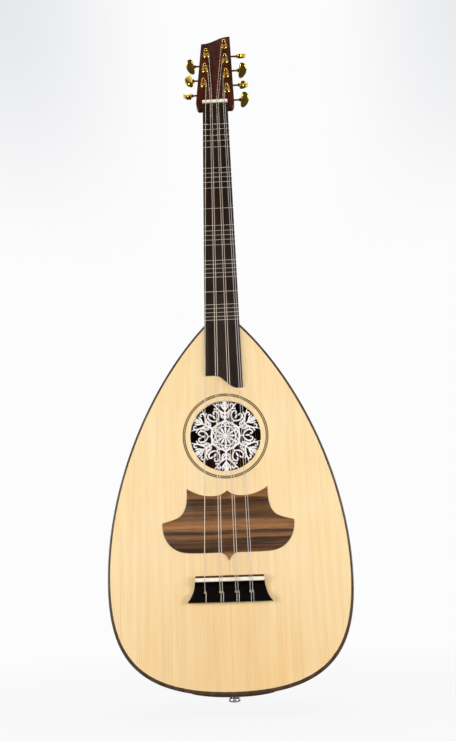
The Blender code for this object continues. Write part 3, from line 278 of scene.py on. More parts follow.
def at_angle(angle, reach=1.0):
    return Vector((math.cos(angle), math.sin(angle))) * reach


def rim(inwards=0.0):
    """The body's outline, right half, from the neck to the tail, moved inwards by a distance."""
    flank_length = BODY_LENGTH - WIDEST_ABOVE_TAIL
    neck = Vector((NECK_WIDTH_AT_BODY / 2, BODY_LENGTH))
    widest = Vector((BODY_WIDTH / 2, WIDEST_ABOVE_TAIL))
    shoulder = Vector((math.sin(SHOULDER_ANGLE), -math.cos(SHOULDER_ANGLE)))
    above = widest + Vector((0.0, FLANK_FULLNESS * flank_length))
    below = widest - Vector((0.0, HIP_FULLNESS * WIDEST_ABOVE_TAIL))
    flank = (neck, neck + shoulder * SHOULDER_FULLNESS * flank_length, above)
    hip = (widest, below, (TAIL_FULLNESS * BODY_WIDTH / 2, 0.0), (0.0, 0.0))
    points = [point + Vector((0.0, TAIL_Z)) for point in run(flank + hip, RIM_STEPS)]
    moved = []
    for before, point, after in zip([points[0], *points], points, [*points[1:], None]):
        along = (after - before).normalized() if after else Vector((-1.0, 0.0))
        moved.append(point + Vector((along.y, -along.x)) * inwards)
    return moved


def edge_inside(extra=0.0):
    """The edge strip's inner line; the strip widens from the widest place to the tail."""
    growth = EDGE_WIDTH_AT_TAIL - EDGE_WIDTH_AT_SHOULDER
    depth = 0.01
    line = []
    for outer, inner in zip(rim(), rim(depth)):
        share = min(max(1 - (outer.y - TAIL_Z) / WIDEST_ABOVE_TAIL, 0.0), 1.0)
        line.append(outer.lerp(inner, (EDGE_WIDTH_AT_SHOULDER + growth * share + extra) / depth))
    return line


def ended_at(points, radius):
    """Cut a rim line off where it comes nearer to the middle than a radius."""
    kept = [point for point in points if point.x > radius]
    before, after = kept[-1], points[len(kept)]
    return kept + [before.lerp(after, (before.x - radius) / (before.x - after.x))]


def tail_part(points, radius):
    """The end of a rim line, from a distance off the middle to the tail."""
    for upper, lower in zip(reversed(points[:-1]), reversed(points[1:])):
        if upper.x >= radius:
            edge = lower.lerp(upper, (radius - lower.x) / (upper.x - lower.x))
            return [edge, *(p for p in points if p.x < radius and p.y < edge.y)]


def mirrored(half):
    """Close an outline from its right half, which runs from the top down to the middle line."""
    return list(half) + [Vector((-p[0], p[1])) for p in reversed(half) if p[0] > GAP]


def circle(radius, sides, centre):
    return [Vector(centre[:2]) + at_angle(2 * math.pi * i / sides, radius) for i in range(sides)]


def flowing(points, steps):
    """A smooth line through points; a point's further number, such as a width, is eased as well."""
    points = [Vector(point) for point in points]
    line = []
    neighbours = zip([points[0], *points], points, points[1:], [*points[2:], points[-1]])
    for before, start, end, after in neighbours:
        bend = 2 * before - 5 * start + 4 * end - after
        turn = 3 * start - before - 3 * end + after
        for t in (step / steps for step in range(steps)):
            line.append(0.5 * (2 * start + (end - before) * t + bend * t * t + turn * t * t * t))
    return line + [points[-1]]


def eased(points):
    """Round a line's corners off and keep its ends."""
    for _ in range(2):
        cut_line = [points[0]]
        for start, end in zip(points, points[1:]):
            cut_line += [start.lerp(end, 0.25), start.lerp(end, 0.75)]
        points = cut_line + [points[-1]]
    return points


def loop_of(shape, points):
    """A closed line of edges through points."""
    corners = [shape.verts.new(point) for point in points]
    return [shape.edges.new(pair) for pair in zip(corners, corners[1:] + corners[:1])]


def fill(shape, edges):
    bmesh.ops.triangle_fill(shape, use_beauty=True, use_dissolve=False, edges=edges)


def tidied(shape):
    bmesh.ops.remove_doubles(shape, verts=shape.verts, dist=WELD)
    bmesh.ops.recalc_face_normals(shape, faces=shape.faces)
    return shape


def softened(shape, edges, width, segments=2):
    bmesh.ops.bevel(
        shape, geom=edges, offset=width, offset_type="OFFSET", segments=segments, profile=0.5,
        affect="EDGES", clamp_overlap=True, material=-1,
    )
    return shape


def thicken(shape, step):
    """Extrude a shape's faces by a step into a closed solid."""
    made = bmesh.ops.extrude_face_region(shape, geom=shape.faces[:])["geom"]
    moved = [item for item in made if isinstance(item, bmesh.types.BMVert)]
    bmesh.ops.translate(shape, verts=moved, vec=step)
    bmesh.ops.recalc_face_normals(shape, faces=shape.faces)
    return moved


def slab(points, step):
    """A flat face through points, thickened by a step."""
    shape = bmesh.new()
    shape.faces.new([shape.verts.new(point) for point in points])
    thicken(shape, step)
    return shape


def plate(outlines, front, thickness, edge=0.0):
    """A flat board of the front; outlines after the first are holes."""
    shape = bmesh.new()
    edges = []
    for outline in outlines:
        edges += loop_of(shape, [(point[0], front, point[1]) for point in outline])
    if len(outlines) == 1:
        shape.faces.new([e.verts[0] for e in edges])
    else:
        fill(shape, edges)
    thicken(shape, (0.0, thickness, 0.0))
    return softened(shape, [e for e in edges if e.is_valid], edge) if edge else shape


def turned(profile, sides):
    """A turned shape about Z, from (radius, height) pairs that run down its outer side."""
    shape = bmesh.new()
    corners = [shape.verts.new((radius, 0.0, height)) for radius, height in profile]
    line = [shape.edges.new(pair) for pair in zip(corners, corners[1:])]
    bmesh.ops.spin(
        shape, geom=corners + line, cent=(0.0, 0.0, 0.0), axis=(0.0, 0.0, 1.0), angle=2 * math.pi,
        steps=sides, use_merge=True,
    )
    return tidied(shape)


def block(low, high):
    """A squared block between two corners."""
    shape = bmesh.new()
    bmesh.ops.create_cube(shape, size=1.0)
    low, size = Vector(low), Vector(high) - Vector(low)
    bmesh.ops.scale(shape, vec=size, verts=shape.verts)
    bmesh.ops.translate(shape, vec=low + size / 2, verts=shape.verts)
    return shape


def rod(radius, depth, sides, place):
    shape = bmesh.new()
    bmesh.ops.create_cone(
        shape, cap_ends=True, segments=sides, radius1=radius, radius2=radius, depth=depth, matrix=place
    )
    return shape


def placed(shape, matrix):
    bmesh.ops.transform(shape, matrix=matrix, verts=shape.verts)
    if matrix.determinant() < 0:
        bmesh.ops.reverse_faces(shape, faces=shape.faces)
    return shape


def mesh_of(shape):
    mesh = bpy.data.meshes.new("piece")
    shape.to_mesh(mesh)
    shape.free()
    return mesh


def shape_of(*meshes):
    """One shape that holds several meshes."""
    shape = bmesh.new()
    for mesh in meshes:
        shape.from_mesh(mesh)
    return shape


def joined(*shapes):
    return shape_of(*(mesh_of(shape) for shape in shapes))


def added(name, data):
    """A new object in the scene."""
    item = bpy.data.objects.new(name, data)
    bpy.context.scene.collection.objects.link(item)
    return item


def made_from(item):
    """The plain mesh of a curve, or of a mesh with modifiers, whose object is then removed."""
    bpy.context.view_layer.update()
    seen = item.evaluated_get(bpy.context.evaluated_depsgraph_get())
    mesh = bpy.data.meshes.new_from_object(seen)
    bpy.data.objects.remove(item, do_unlink=True)
    return mesh


def carved(shape, *tools, operation="DIFFERENCE"):
    """Cut tools from a shape, or join them to it."""
    item = added("blank", mesh_of(shape))
    helpers = [added("tool", mesh_of(tool)) for tool in tools]
    for helper in helpers:
        cutting = item.modifiers.new("cut", "BOOLEAN")
        cutting.operation = operation
        cutting.solver = "EXACT"
        cutting.object = helper
    mesh = made_from(item)
    for helper in helpers:
        bpy.data.objects.remove(helper, do_unlink=True)
    return tidied(shape_of(mesh))


def cord(routes, radius, fineness=2, closed=False):
    """Round cords along lines of points; a fourth number of a point swells or thins the cord."""
    curve = bpy.data.curves.new("cord", "CURVE")
    curve.dimensions = "3D"
    curve.bevel_depth = radius
    curve.bevel_resolution = fineness
    curve.use_fill_caps = not closed
    for route in routes:
        spline = curve.splines.new("POLY")
        spline.points.add(len(route) - 1)
        spline.use_cyclic_u = closed
        for point, place in zip(spline.points, route):
            point.co = (*place[:3], 1.0)
            if len(place) > 3:
                point.radius = place[3]
    return made_from(added("cord", curve))


def settle(name, shape, finish, body="instrument", stands_for=(), angle=35.0):
    """Put a finished piece on its body, in its material."""
    mesh = shape if isinstance(shape, bpy.types.Mesh) else mesh_of(shape)
    mesh.name = name
    mesh.materials.clear()
    mesh.materials.append(FINISHES[finish])
    mesh.shade_smooth()
    mesh.set_sharp_from_angle(angle=math.radians(angle))
    item = added(name, mesh)
    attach(item, body)
    if stands_for:
        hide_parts(*stands_for)
    return item


def soften_edges(item, width, segments, angle):
    soft = item.modifiers.new("soft_edges", "BEVEL")
    soft.width = width
    soft.segments = segments
    soft.limit_method = "ANGLE"
    soft.angle_limit = math.radians(angle)


# Materials: the tools


def tone(red, green, blue):
    """A colour given as it shows on a screen, from 0 to 255."""
    shares = (value / 255 for value in (red, green, blue))
    return (*(s / 12.92 if s <= 0.04045 else ((s + 0.055) / 1.055) ** 2.4 for s in shares), 1.0)


def feed(made, inputs):
    """Set a node's inputs to values, or link them to what varies."""
    for key, value in inputs.items():
        if isinstance(value, Wire):
            made.id_data.links.new(value.socket, made.inputs[key])
        else:
            made.inputs[key].default_value = value


def node(tree, kind, inputs, **settings):
    made = tree.nodes.new("ShaderNode" + kind)
    for key, value in settings.items():
        setattr(made, key, value)
    feed(made, inputs)
    return [Wire(socket) for socket in made.outputs]


class Wire:
    """A number, place or colour that varies over a surface, and that arithmetic works on."""

    def __init__(self, socket):
        self.socket = socket
        self.tree = socket.id_data

    def reckon(self, operation, other=0.0):
        return node(self.tree, "Math", {0: self, 1: other}, operation=operation)[0]

    def __add__(self, other):
        return self.reckon("ADD", other)

    def __sub__(self, other):
        return self.reckon("SUBTRACT", other)

    def __mul__(self, other):
        return self.reckon("MULTIPLY", other)

    def __truediv__(self, other):
        return self.reckon("DIVIDE", other)

    def __abs__(self):
        return self.reckon("ABSOLUTE")

    def between(self, low, high, to_low=0.0, to_high=1.0, kind="SMOOTHSTEP"):
        """Go from one number to another as the value goes from low to high."""
        inputs = {0: self, 1: low, 2: high, 3: to_low, 4: to_high}
        return node(self.tree, "MapRange", inputs, interpolation_type=kind)[0]

    def mix(self, first, second, blend="MIX"):
        """Go from one colour to another, or to their blend, as the value goes from 0 to 1."""
        inputs = {0: self, 6: first, 7: second}
        return node(self.tree, "Mix", inputs, data_type="RGBA", blend_type=blend)[2]

    def vector(self, operation, other):
        return node(self.tree, "VectorMath", {0: self, 1: other}, operation=operation)[0]

    def length(self):
        return node(self.tree, "VectorMath", {0: self}, operation="LENGTH")[1]

    def parts(self):
        return node(self.tree, "SeparateXYZ", {0: self})

    def noise(self, fineness, detail=2.0, roughness=0.5, distortion=0.0):
        """Noise of a place, whose fineness in each direction is in waves per metre."""
        inputs = {
            "Vector": self.vector("MULTIPLY", fineness), "Scale": 1.0, "Detail": detail,
            "Roughness": roughness, "Distortion": distortion,
        }
        return node(self.tree, "TexNoise", inputs)[0]


def combined(x, y, z):
    return node(x.tree, "CombineXYZ", {0: x, 1: y, 2: z})[0]


def new_group(name, work, **numbers):
    """A node group that takes a place and numbers; a function works out what it gives."""
    tree = bpy.data.node_groups.new(name, "ShaderNodeTree")
    tree.interface.new_socket("place", in_out="INPUT", socket_type="NodeSocketVector")
    for label, value in numbers.items():
        socket = tree.interface.new_socket(label, in_out="INPUT", socket_type="NodeSocketFloat")
        socket.default_value = value
    given = list(tree.nodes.new("NodeGroupInput").outputs)[:-1]
    results = work(*(Wire(socket) for socket in given))
    for label in results:
        tree.interface.new_socket(label, in_out="OUTPUT", socket_type="NodeSocketFloat")
    feed(tree.nodes.new("NodeGroupOutput"), results)
    return tree


def wood_grain(place, ring_width, waviness):
    """Growth rings, broad streaks, fine fibres and open pores of a board whose grain runs along Z."""
    x, y, z = place.parts()
    drift = (place.noise((9.0, 9.0, 2.2)) - 0.5) * waviness
    across = x + drift + y * 0.35
    uneven = combined(across, 0.0, 0.0).noise((55.0, 0.0, 0.0)) * 3.0
    phase = (across / ring_width + uneven).reckon("FRACT")
    line = phase.between(0.25, 0.92) * phase.between(0.92, 1.0, 1.0, 0.0)
    shown = combined(across, 0.0, z).noise((170.0, 0.0, 7.0)).between(0.35, 0.65, 0.15, 1.0)
    warped = combined(across, y, z)
    return {
        "rings": line * shown,
        "streaks": warped.noise((95.0, 95.0, 2.5), 4.0, 0.6),
        "fibres": warped.noise((1500.0, 1500.0, 32.0), 2.0, 0.6),
        "pores": warped.noise((1100.0, 1100.0, 55.0), 1.0).between(0.60, 0.72),
    }


def handling(place, size):
    """Where fingers and cloth have polished a surface, with hair scratches and dust."""
    return {
        "polish": place.vector("DIVIDE", size).noise((1.0, 1.0, 1.0), 3.0, 0.6).between(0.3, 0.7),
        "scratches": place.noise((3500.0, 900.0, 160.0), 1.0, 0.4, 1.2).between(0.62, 0.70),
        "dust": place.noise((2400.0, 2400.0, 2400.0), 1.0).between(0.68, 0.80),
    }


GROUPS = {
    "grain": new_group("wood_grain", wood_grain, ring_width=0.002, waviness=0.004),
    "handling": new_group("handling", handling, size=0.03),
}
FINISHES = {}


class Finish:
    """A material under way: its tree, its Principled shader and its Object coordinates."""

    def __init__(self, name):
        self.material = bpy.data.materials.new(name)
        self.material.use_nodes = True
        self.tree = self.material.node_tree
        self.shader = self.tree.nodes["Principled BSDF"]
        self.place = node(self.tree, "TexCoord", {})[3]
        FINISHES[name] = self.material

    def group(self, name, **inputs):
        return node(self.tree, "Group", inputs, node_tree=GROUPS[name])

    def set(self, **values):
        """Give the shader's sockets values, or link what varies to them."""
        feed(self.shader, {label.replace("_", " "): value for label, value in values.items()})

    def color(self):
        """The base colour so far."""
        return Wire(self.shader.inputs["Base Color"].links[0].from_socket)

    def relief(self, height, depth):
        """Bump from a height of which one whole step stands for a depth in metres."""
        self.set(Normal=node(self.tree, "Bump", {"Height": height, "Distance": depth})[0])


def wood(name, pale, deep, rings, gloss, streaks=0.5, pores=0.5, ring_width=0.004, waviness=0.012,
         polish=0.10, coat=0.0, coat_gloss=0.15, relief=0.00003, board=None):
    """A board's finish from its pale and deep colours and how strong each figure shows."""
    made = Finish(name)
    place = board(made.place) if board else made.place
    ring, streak, fibre, pore = made.group(
        "grain", place=place, ring_width=ring_width, waviness=waviness
    )
    worn = made.group("handling", place=made.place, size=0.045)[0]
    figure = (streak.between(0.30, 0.70) * streaks).reckon("MAXIMUM", ring * rings)
    share = figure + fibre.between(0.3, 0.7, -0.08, 0.08, "LINEAR")
    pore = pore * pores
    dark = (*(value * 0.35 for value in tone(*deep)[:3]), 1.0)
    made.set(Base_Color=pore.mix(share.mix(tone(*pale), tone(*deep)), dark))
    rough = worn.between(0.0, 1.0, gloss + polish / 2, gloss - polish / 2, "LINEAR")
    made.set(Roughness=rough + pore * 0.15, Coat_Weight=coat, Coat_Roughness=coat_gloss)
    made.relief(fibre * 0.4 - pore, relief)
    return made


def grain_across(place):
    """A board that lies with its grain along X."""
    return node(place.tree, "Mapping", {"Vector": place, "Rotation": (0.0, math.pi / 2, 0.0)})[0]


def bookmatched(place):
    """Two halves of one board opened like a book at the middle line."""
    x, y, z = place.parts()
    return combined(abs(x), y, z)


def round_the_bowl(place):
    """Each rib's own board: its angle about the bowl's axis picks the board, its grain runs down."""
    x, y, z = place.parts()
    back = y - BOWL_FRONT
    turn = back.reckon("ARCTAN2", x) / RIB_ANGLE
    rib = turn.reckon("FLOOR")
    across = (turn - rib) * (combined(x, back, 0.0).length() * RIB_ANGLE)
    return combined(across + rib * 0.37, rib * 0.61, z + rib * 1.7)


def metal(name, color, shade, gloss, metallic=1.0):
    """Plated metal: even colour, slightly duller where handled, with hair scratches."""
    made = Finish(name)
    polish, scratches, _ = made.group("handling", place=made.place, size=0.006)
    dull = polish.between(0.0, 1.0, gloss, gloss + 0.08, "LINEAR")
    made.set(Metallic=metallic, Base_Color=polish.mix(tone(*color), tone(*shade)))
    made.set(Roughness=dull + scratches * 0.06)
    made.relief(scratches, -0.000004)


def warm_and_shade_towards_the_tail(spruce):
    """The top is paler by the neck and darker and more golden towards its tail, most in the middle: painted
    shade over the wood's warmer tone. Random tinted blots and a fine middle joint are the wood's own.
    """
    x, _, z = spruce.place.parts()
    height = z + spruce.place.noise((5.0, 5.0, 3.0)) * 0.12
    # Painted shade with a warmer wood tone: darker and more golden towards the tail, most in the middle.
    share = height.between(0.10, 0.32, 0.40, 0.0) * abs(x).between(0.02, 0.12, 1.0, 0.35)
    warm_and_shaded = share.mix(spruce.color(), tone(244, 214, 170), "MULTIPLY")
    blot = spruce.place.noise((26.0, 1.0, 9.0), 3.0, 0.6).between(0.40, 0.70, 0.0, 0.5)
    warm_and_shaded = blot.mix(warm_and_shaded, tone(255, 244, 222), "MULTIPLY")
    seam = abs(x).between(0.0001, 0.0004, 0.35, 0.0)
    spruce.set(Base_Color=seam.mix(warm_and_shaded, tone(190, 150, 100)))


def paint_spruce_reflection_on_lip(black):
    """A painted reflection of the spruce: a brown band along the bridge's upper edge."""
    share = (black.place.parts()[2] - BRIDGE_TOP).between(-0.0035, -0.0015, 0.0, 0.9)
    black.set(Base_Color=share.mix(black.color(), tone(88, 56, 38)), Specular_IOR_Level=0.2)


def streak_the_veneer(veneer):
    """Broad dark streaks that run across the pickguard, wavering with its grain."""
    lift = (veneer.place.noise((11.0, 1.0, 26.0), 3.0, 0.55) - 0.5) * 0.009
    height = veneer.place.parts()[2] + lift - BRIDGE_TOP
    total = height * 0.0
    for middle, reach, depth in VENEER_STREAKS:
        streak = abs(height - middle).between(reach * 0.6, reach, depth, 0.0)
        total = total.reckon("MAXIMUM", streak)
    fine = veneer.place.noise((9.0, 1.0, 700.0), 3.0, 0.65).between(0.40, 0.60, 0.60, 1.0)
    veneer.set(Base_Color=(total * fine).mix(veneer.color(), tone(46, 30, 18)))


def bone():
    made = Finish("bone")
    fine = made.place.noise((60.0, 700.0, 700.0), 3.0)
    cloud = made.place.noise((90.0, 90.0, 90.0))
    color = cloud.between(0.35, 0.65).mix(tone(250, 238, 220), tone(240, 222, 196))
    pits = fine.between(0.62, 0.72, 0.0, 0.5)
    made.set(Base_Color=pits.mix(color, tone(214, 190, 156)), Subsurface_Weight=0.1)
    made.set(Roughness=cloud.between(0.3, 0.7, 0.28, 0.38), Subsurface_Scale=0.002)
    made.relief(fine, 0.00002)


def carved_white():
    """Thin white carving: faintly grainy, with a little dust in its dips."""
    made = Finish("rosette_white")
    polish, _, dust = made.group("handling", place=made.place, size=0.01)
    fine = made.place.noise((900.0, 900.0, 900.0))
    color = polish.mix(tone(252, 247, 246), tone(240, 233, 231))
    made.set(Base_Color=dust.mix(color, tone(206, 196, 190)))
    made.set(Roughness=fine.between(0.2, 0.8, 0.42, 0.56))
    made.relief(fine, 0.00002)


def rope_ring():
    """Twisted purfling between two dark lines, laid round the sound hole."""
    made = Finish("rope_purfling")
    x, _, z = made.place.vector("ADD", (0.0, 0.0, -SOUND_HOLE_Z)).parts()
    radius = combined(x, 0.0, z).length()
    across = (radius - (RING_OUTER_RADIUS - RING_WIDTH)) / RING_WIDTH
    angle = z.reckon("ARCTAN2", x) * (RING_STRANDS / (2 * math.pi))
    strands = (angle + across * 0.9).reckon("FRACT")
    twist = abs(strands - 0.5).between(0.12, 0.30)
    middle = twist.mix(tone(222, 190, 136), tone(150, 116, 74))
    edge = abs(across - 0.5).between(0.18, 0.23)
    made.set(Base_Color=edge.mix(middle, tone(34, 22, 12)), Roughness=0.42)
    made.relief(twist, -0.00004)


def wound_string(name, pale, deep, metallic):
    """Fine wire wound round a core."""
    made = Finish(name)
    wire = (made.place.parts()[2] * (2 * math.pi / WIRE_PITCH)).reckon("SINE")
    cloud = made.place.noise((30.0, 30.0, 14.0))
    made.set(Metallic=metallic, Base_Color=cloud.mix(tone(*pale), tone(*deep)))
    made.set(Roughness=wire.between(-1.0, 1.0, 0.50, 0.42))
    made.relief(wire, 0.000004)


def gut(name, pale, deep):
    made = Finish(name)
    cloud = made.place.noise((200.0, 200.0, 60.0))
    made.set(Base_Color=cloud.mix(tone(*pale), tone(*deep)), Specular_IOR_Level=0.6)
    made.set(Roughness=cloud.between(0.3, 0.7, 0.26, 0.38))
    made.relief(cloud, 0.00002)


def make_finishes():
    spruce = wood(
        "spruce", (246, 220, 171), (225, 189, 135), rings=0.70, streaks=0.22, pores=0.0,
        ring_width=0.0025, waviness=0.005, gloss=0.42, polish=0.08, coat=0.12, coat_gloss=0.3,
        relief=0.00002, board=bookmatched,
    )
    # Painted shade and a warmer wood tone towards the tail.
    warm_and_shade_towards_the_tail(spruce)
    wood(
        "bowl_wood", (112, 66, 40), (58, 30, 18), rings=0.35, streaks=0.9, pores=0.6,
        ring_width=0.0065, waviness=0.02, gloss=0.30, coat=0.6, coat_gloss=0.10, board=round_the_bowl,
    )
    wood(
        "dark_binding", (88, 66, 48), (52, 38, 28), rings=0.1, streaks=0.7, pores=0.4,
        ring_width=0.003, gloss=0.34, coat=0.3, coat_gloss=0.12,
    )
    wood(
        "pale_line", (232, 208, 164), (214, 182, 132), rings=0.2, streaks=0.3, pores=0.0,
        ring_width=0.001, gloss=0.4,
    )
    wood(
        "block_wood", (206, 170, 120), (180, 140, 92), rings=0.6, streaks=0.4, pores=0.1,
        ring_width=0.003, gloss=0.62,
    )
    wood(
        "brace_wood", (222, 188, 138), (200, 158, 104), rings=0.6, streaks=0.3, pores=0.0,
        ring_width=0.0015, gloss=0.62, board=grain_across,
    )
    striped = wood(
        "striped_veneer", (170, 114, 60), (96, 66, 40), rings=0.3, streaks=0.9, pores=0.6,
        ring_width=0.003, waviness=0.03, gloss=0.42, polish=0.12, board=grain_across,
    )
    streak_the_veneer(striped)
    black = wood(
        "black_wood", (12, 8, 7), (5, 4, 4), rings=0.1, pores=0.25, gloss=0.24, polish=0.08,
        coat=0.18, coat_gloss=0.08, board=grain_across,
    )
    # Painted reflection: a brown band of the spruce along the bridge's upper edge.
    paint_spruce_reflection_on_lip(black)
    wood(
        "neck_wood", (126, 72, 46), (84, 42, 26), rings=0.3, streaks=0.7, pores=0.7,
        ring_width=0.006, waviness=0.015, gloss=0.34, coat=0.4,
    )
    wood(
        "fingerboard_wood", (48, 32, 24), (20, 12, 8), rings=0.2, streaks=0.8, pores=0.7,
        waviness=0.008, gloss=0.36, polish=0.14,
    )
    wood(
        "head_wood", (78, 30, 10), (40, 12, 4), rings=0.25, streaks=0.9, ring_width=0.006,
        waviness=0.01, gloss=0.38, coat=0.12, coat_gloss=0.12,
    )
    metal("gold", (240, 206, 100), (210, 172, 72), 0.16)
    metal("chrome", (240, 240, 244), (222, 224, 228), 0.24, metallic=0.7)
    metal("steel_screw", (232, 190, 96), (206, 160, 70), 0.20)
    bone()
    carved_white()
    rope_ring()
    wound_string("wound_string", (226, 213, 198), (200, 183, 164), 0.30)
    wound_string("bronze_winding", (222, 174, 96), (186, 132, 64), 0.75)
    gut("plain_string", (208, 202, 197), (182, 175, 170))
    gut("fret_gut", (248, 238, 220), (224, 208, 184))


# Body


def build_bowl():
    """Ribs with pale lines between them."""
    outer = ended_at(rim(SKIN), RIB_END_RADIUS)
    inner = ended_at(rim(RIB_THICKNESS), RIB_END_RADIUS)
    bottom = ended_at(rim(LINE_DEPTH), RIB_END_RADIUS)
    one_rib = Matrix.Rotation(RIB_ANGLE, 3, "Z")
    lines = []
    for index in range(RIB_COUNT):
        place = Matrix.Translation((0.0, BOWL_FRONT, 0.0)) @ Matrix.Rotation(index * RIB_ANGLE, 4, "Z")
        rib = bmesh.new()
        start = [rib.verts.new((p.x, 0.0, p.y)) for p in outer + inner[::-1]]
        rib.faces.new(start)
        end = thicken(rib, (0.0, 0.0, 0.0))
        bmesh.ops.rotate(rib, verts=end, cent=(0.0, 0.0, 0.0), matrix=one_rib)
        bmesh.ops.translate(rib, verts=start, vec=(0.0, LINE_WIDTH / 2, 0.0))
        bmesh.ops.translate(rib, verts=end, vec=one_rib @ Vector((0.0, -LINE_WIDTH / 2, 0.0)))
        bmesh.ops.recalc_face_normals(rib, faces=rib.faces)
        number = f"{index + 1:02d}"
        settle(f"rib_board_{number}", placed(rib, place), "bowl_wood", stands_for=[f"bowl_rib_{number}"])
        if index:
            side = [(p.x, WELD - LINE_WIDTH / 2, p.y) for p in outer + bottom[::-1]]
            lines.append(placed(slab(side, (0.0, LINE_WIDTH - 2 * WELD, 0.0)), place))
    settle("rib_lines", joined(*lines), "pale_line")


def build_tail_cap():
    """The cap over the ribs' ends, thinner towards its edge."""
    seat_line, cap_line = rim(-GAP), rim(-GAP - CLASP_THICKNESS)
    feathered = []
    for seat, cap in zip(seat_line, cap_line):
        fullness = math.sqrt(max(0.0, 1 - (seat.x / CLASP_RADIUS) ** 2))
        feathered.append(seat.lerp(cap, CLASP_EDGE_SHARE + (1 - CLASP_EDGE_SHARE) * fullness))
    section = tail_part(feathered, CLASP_RADIUS) + tail_part(seat_line, CLASP_RADIUS)[::-1]
    clasp = bmesh.new()
    face = clasp.faces.new([clasp.verts.new((p.x, BOWL_FRONT, p.y)) for p in section])
    bmesh.ops.spin(
        clasp, geom=[face, *face.edges, *face.verts], cent=(0.0, BOWL_FRONT, 0.0),
        axis=(0.0, 0.0, 1.0), angle=math.pi, steps=RIB_COUNT,
    )
    settle("tail_cap", tidied(clasp), "dark_binding", stands_for=["end_clasp"])


def build_edge():
    """The dark strip round the top, with its front corner rounded, and its pale line."""
    outer_line = mirrored(rim())
    strip_inner = mirrored(edge_inside())
    outline = mirrored(edge_inside(EDGE_LINE_WIDTH))
    strip = plate([outer_line + strip_inner[::-1]], BOARD_FRONT, BOARD_THICKNESS)
    strip.verts.index_update()
    rounded = [e for e in strip.edges if all(v.index < len(outer_line) for v in e.verts)]
    softened(strip, rounded, EDGE_ROUNDING, 4)
    settle("edge_strip", strip, "dark_binding", stands_for=["edge_binding"])
    line = plate([strip_inner + outline[::-1]], BOARD_FRONT, BOARD_THICKNESS)
    settle("edge_line", line, "pale_line")


def build_top():
    """The spruce, with a groove round its sound hole, and the ring let into the groove."""
    centre = (0.0, SOUND_HOLE_Z)
    outline = mirrored(edge_inside(EDGE_LINE_WIDTH))
    shape = bmesh.new()
    radii = (RING_OUTER_RADIUS, RING_OUTER_RADIUS - RING_WIDTH, SOUND_HOLE_RADIUS)
    rings = [circle(radius, 96, centre) for radius in radii]

    def loops_at(front, *lines):
        return [loop_of(shape, [(point[0], front, point[1]) for point in line]) for line in lines]

    edge, outer, inner, hole = loops_at(BOARD_FRONT, outline, *rings)
    outer_floor, inner_floor = loops_at(BOARD_FRONT + RING_DEPTH, *rings[:2])
    edge_back, hole_back = loops_at(BOARD_FRONT + BOARD_THICKNESS, outline, rings[2])
    for pair in ((edge, outer), (inner, hole), (outer_floor, inner_floor), (edge_back, hole_back)):
        fill(shape, pair[0] + pair[1])
    for pair in ((outer, outer_floor), (inner, inner_floor), (hole, hole_back), (edge, edge_back)):
        bmesh.ops.bridge_loops(shape, edges=pair[0] + pair[1])
    bmesh.ops.recalc_face_normals(shape, faces=shape.faces)
    settle("spruce_top", shape, "spruce", stands_for=["soundboard"])
    ring = plate(rings[:2], BOARD_FRONT, RING_DEPTH)
    settle("hole_ring", ring, "rope_purfling", stands_for=["rosette_ring"])


def build_pickguard():
    def at(across, along):
        return (across * PICKGUARD_WIDTH / 2, PICKGUARD_TOP - along * PICKGUARD_LENGTH)

    knots = (
        at(0.0, 0.04), at(0.06, 0.09), at(0.14, 0.12),
        at(0.25, 0.115), at(0.42, 0.11), at(0.54, 0.05),
        at(0.62, 0.0), at(0.61, 0.14), at(0.62, 0.34),
        at(0.76, 0.40), at(0.85, 0.44), at(0.94, 0.45),
        at(1.0, 0.47), at(1.01, 0.70), at(0.86, 0.87),
        at(0.62, 0.885), at(0.44, 0.895), at(0.30, 0.89),
        at(0.16, 0.89), at(0.08, 0.89), at(0.03, 0.93), at(0.0, 1.0),
    )
    front = BOARD_FRONT - GAP - PICKGUARD_THICKNESS
    shape = plate([mirrored(run(knots, 14))], front, PICKGUARD_THICKNESS, PICKGUARD_EDGE)
    settle("pickguard_veneer", shape, "striped_veneer", stands_for=["pickguard"])


# Rosette: strokes drawn in shares of the sound hole's radius, as (outwards, sideways, width)

LOBE_STROKES = (
    ((0.495, 0.0, 0.030), (0.535, 0.085, 0.040), (0.620, 0.150, 0.046), (0.715, 0.150, 0.042),
     (0.765, 0.095, 0.038), (0.735, 0.045, 0.034), (0.690, 0.055, 0.040)),
    ((0.455, 0.215, 0.036), (0.520, 0.185, 0.034), (0.590, 0.205, 0.034), (0.665, 0.235, 0.034),
     (0.745, 0.225, 0.034), (0.800, 0.170, 0.030), (0.830, 0.120, 0.040)),
    ((0.270, 0.0, 0.024), (0.300, 0.035, 0.024), (0.330, 0.085, 0.024), (0.400, 0.231, 0.030)),
)
LOBE_LEAVES = (
    ((0.560, 0.0, 0.020), (0.620, 0.0, 0.052), (0.665, 0.0, 0.040), (0.700, 0.0, 0.014)),
    ((0.395, -0.235, 0.024), (0.385, -0.120, 0.040), (0.392, 0.0, 0.064), (0.385, 0.120, 0.040),
     (0.395, 0.235, 0.024)),
    ((0.395, 0.0, 0.030), (0.445, 0.0, 0.026), (0.500, 0.0, 0.034)),
)
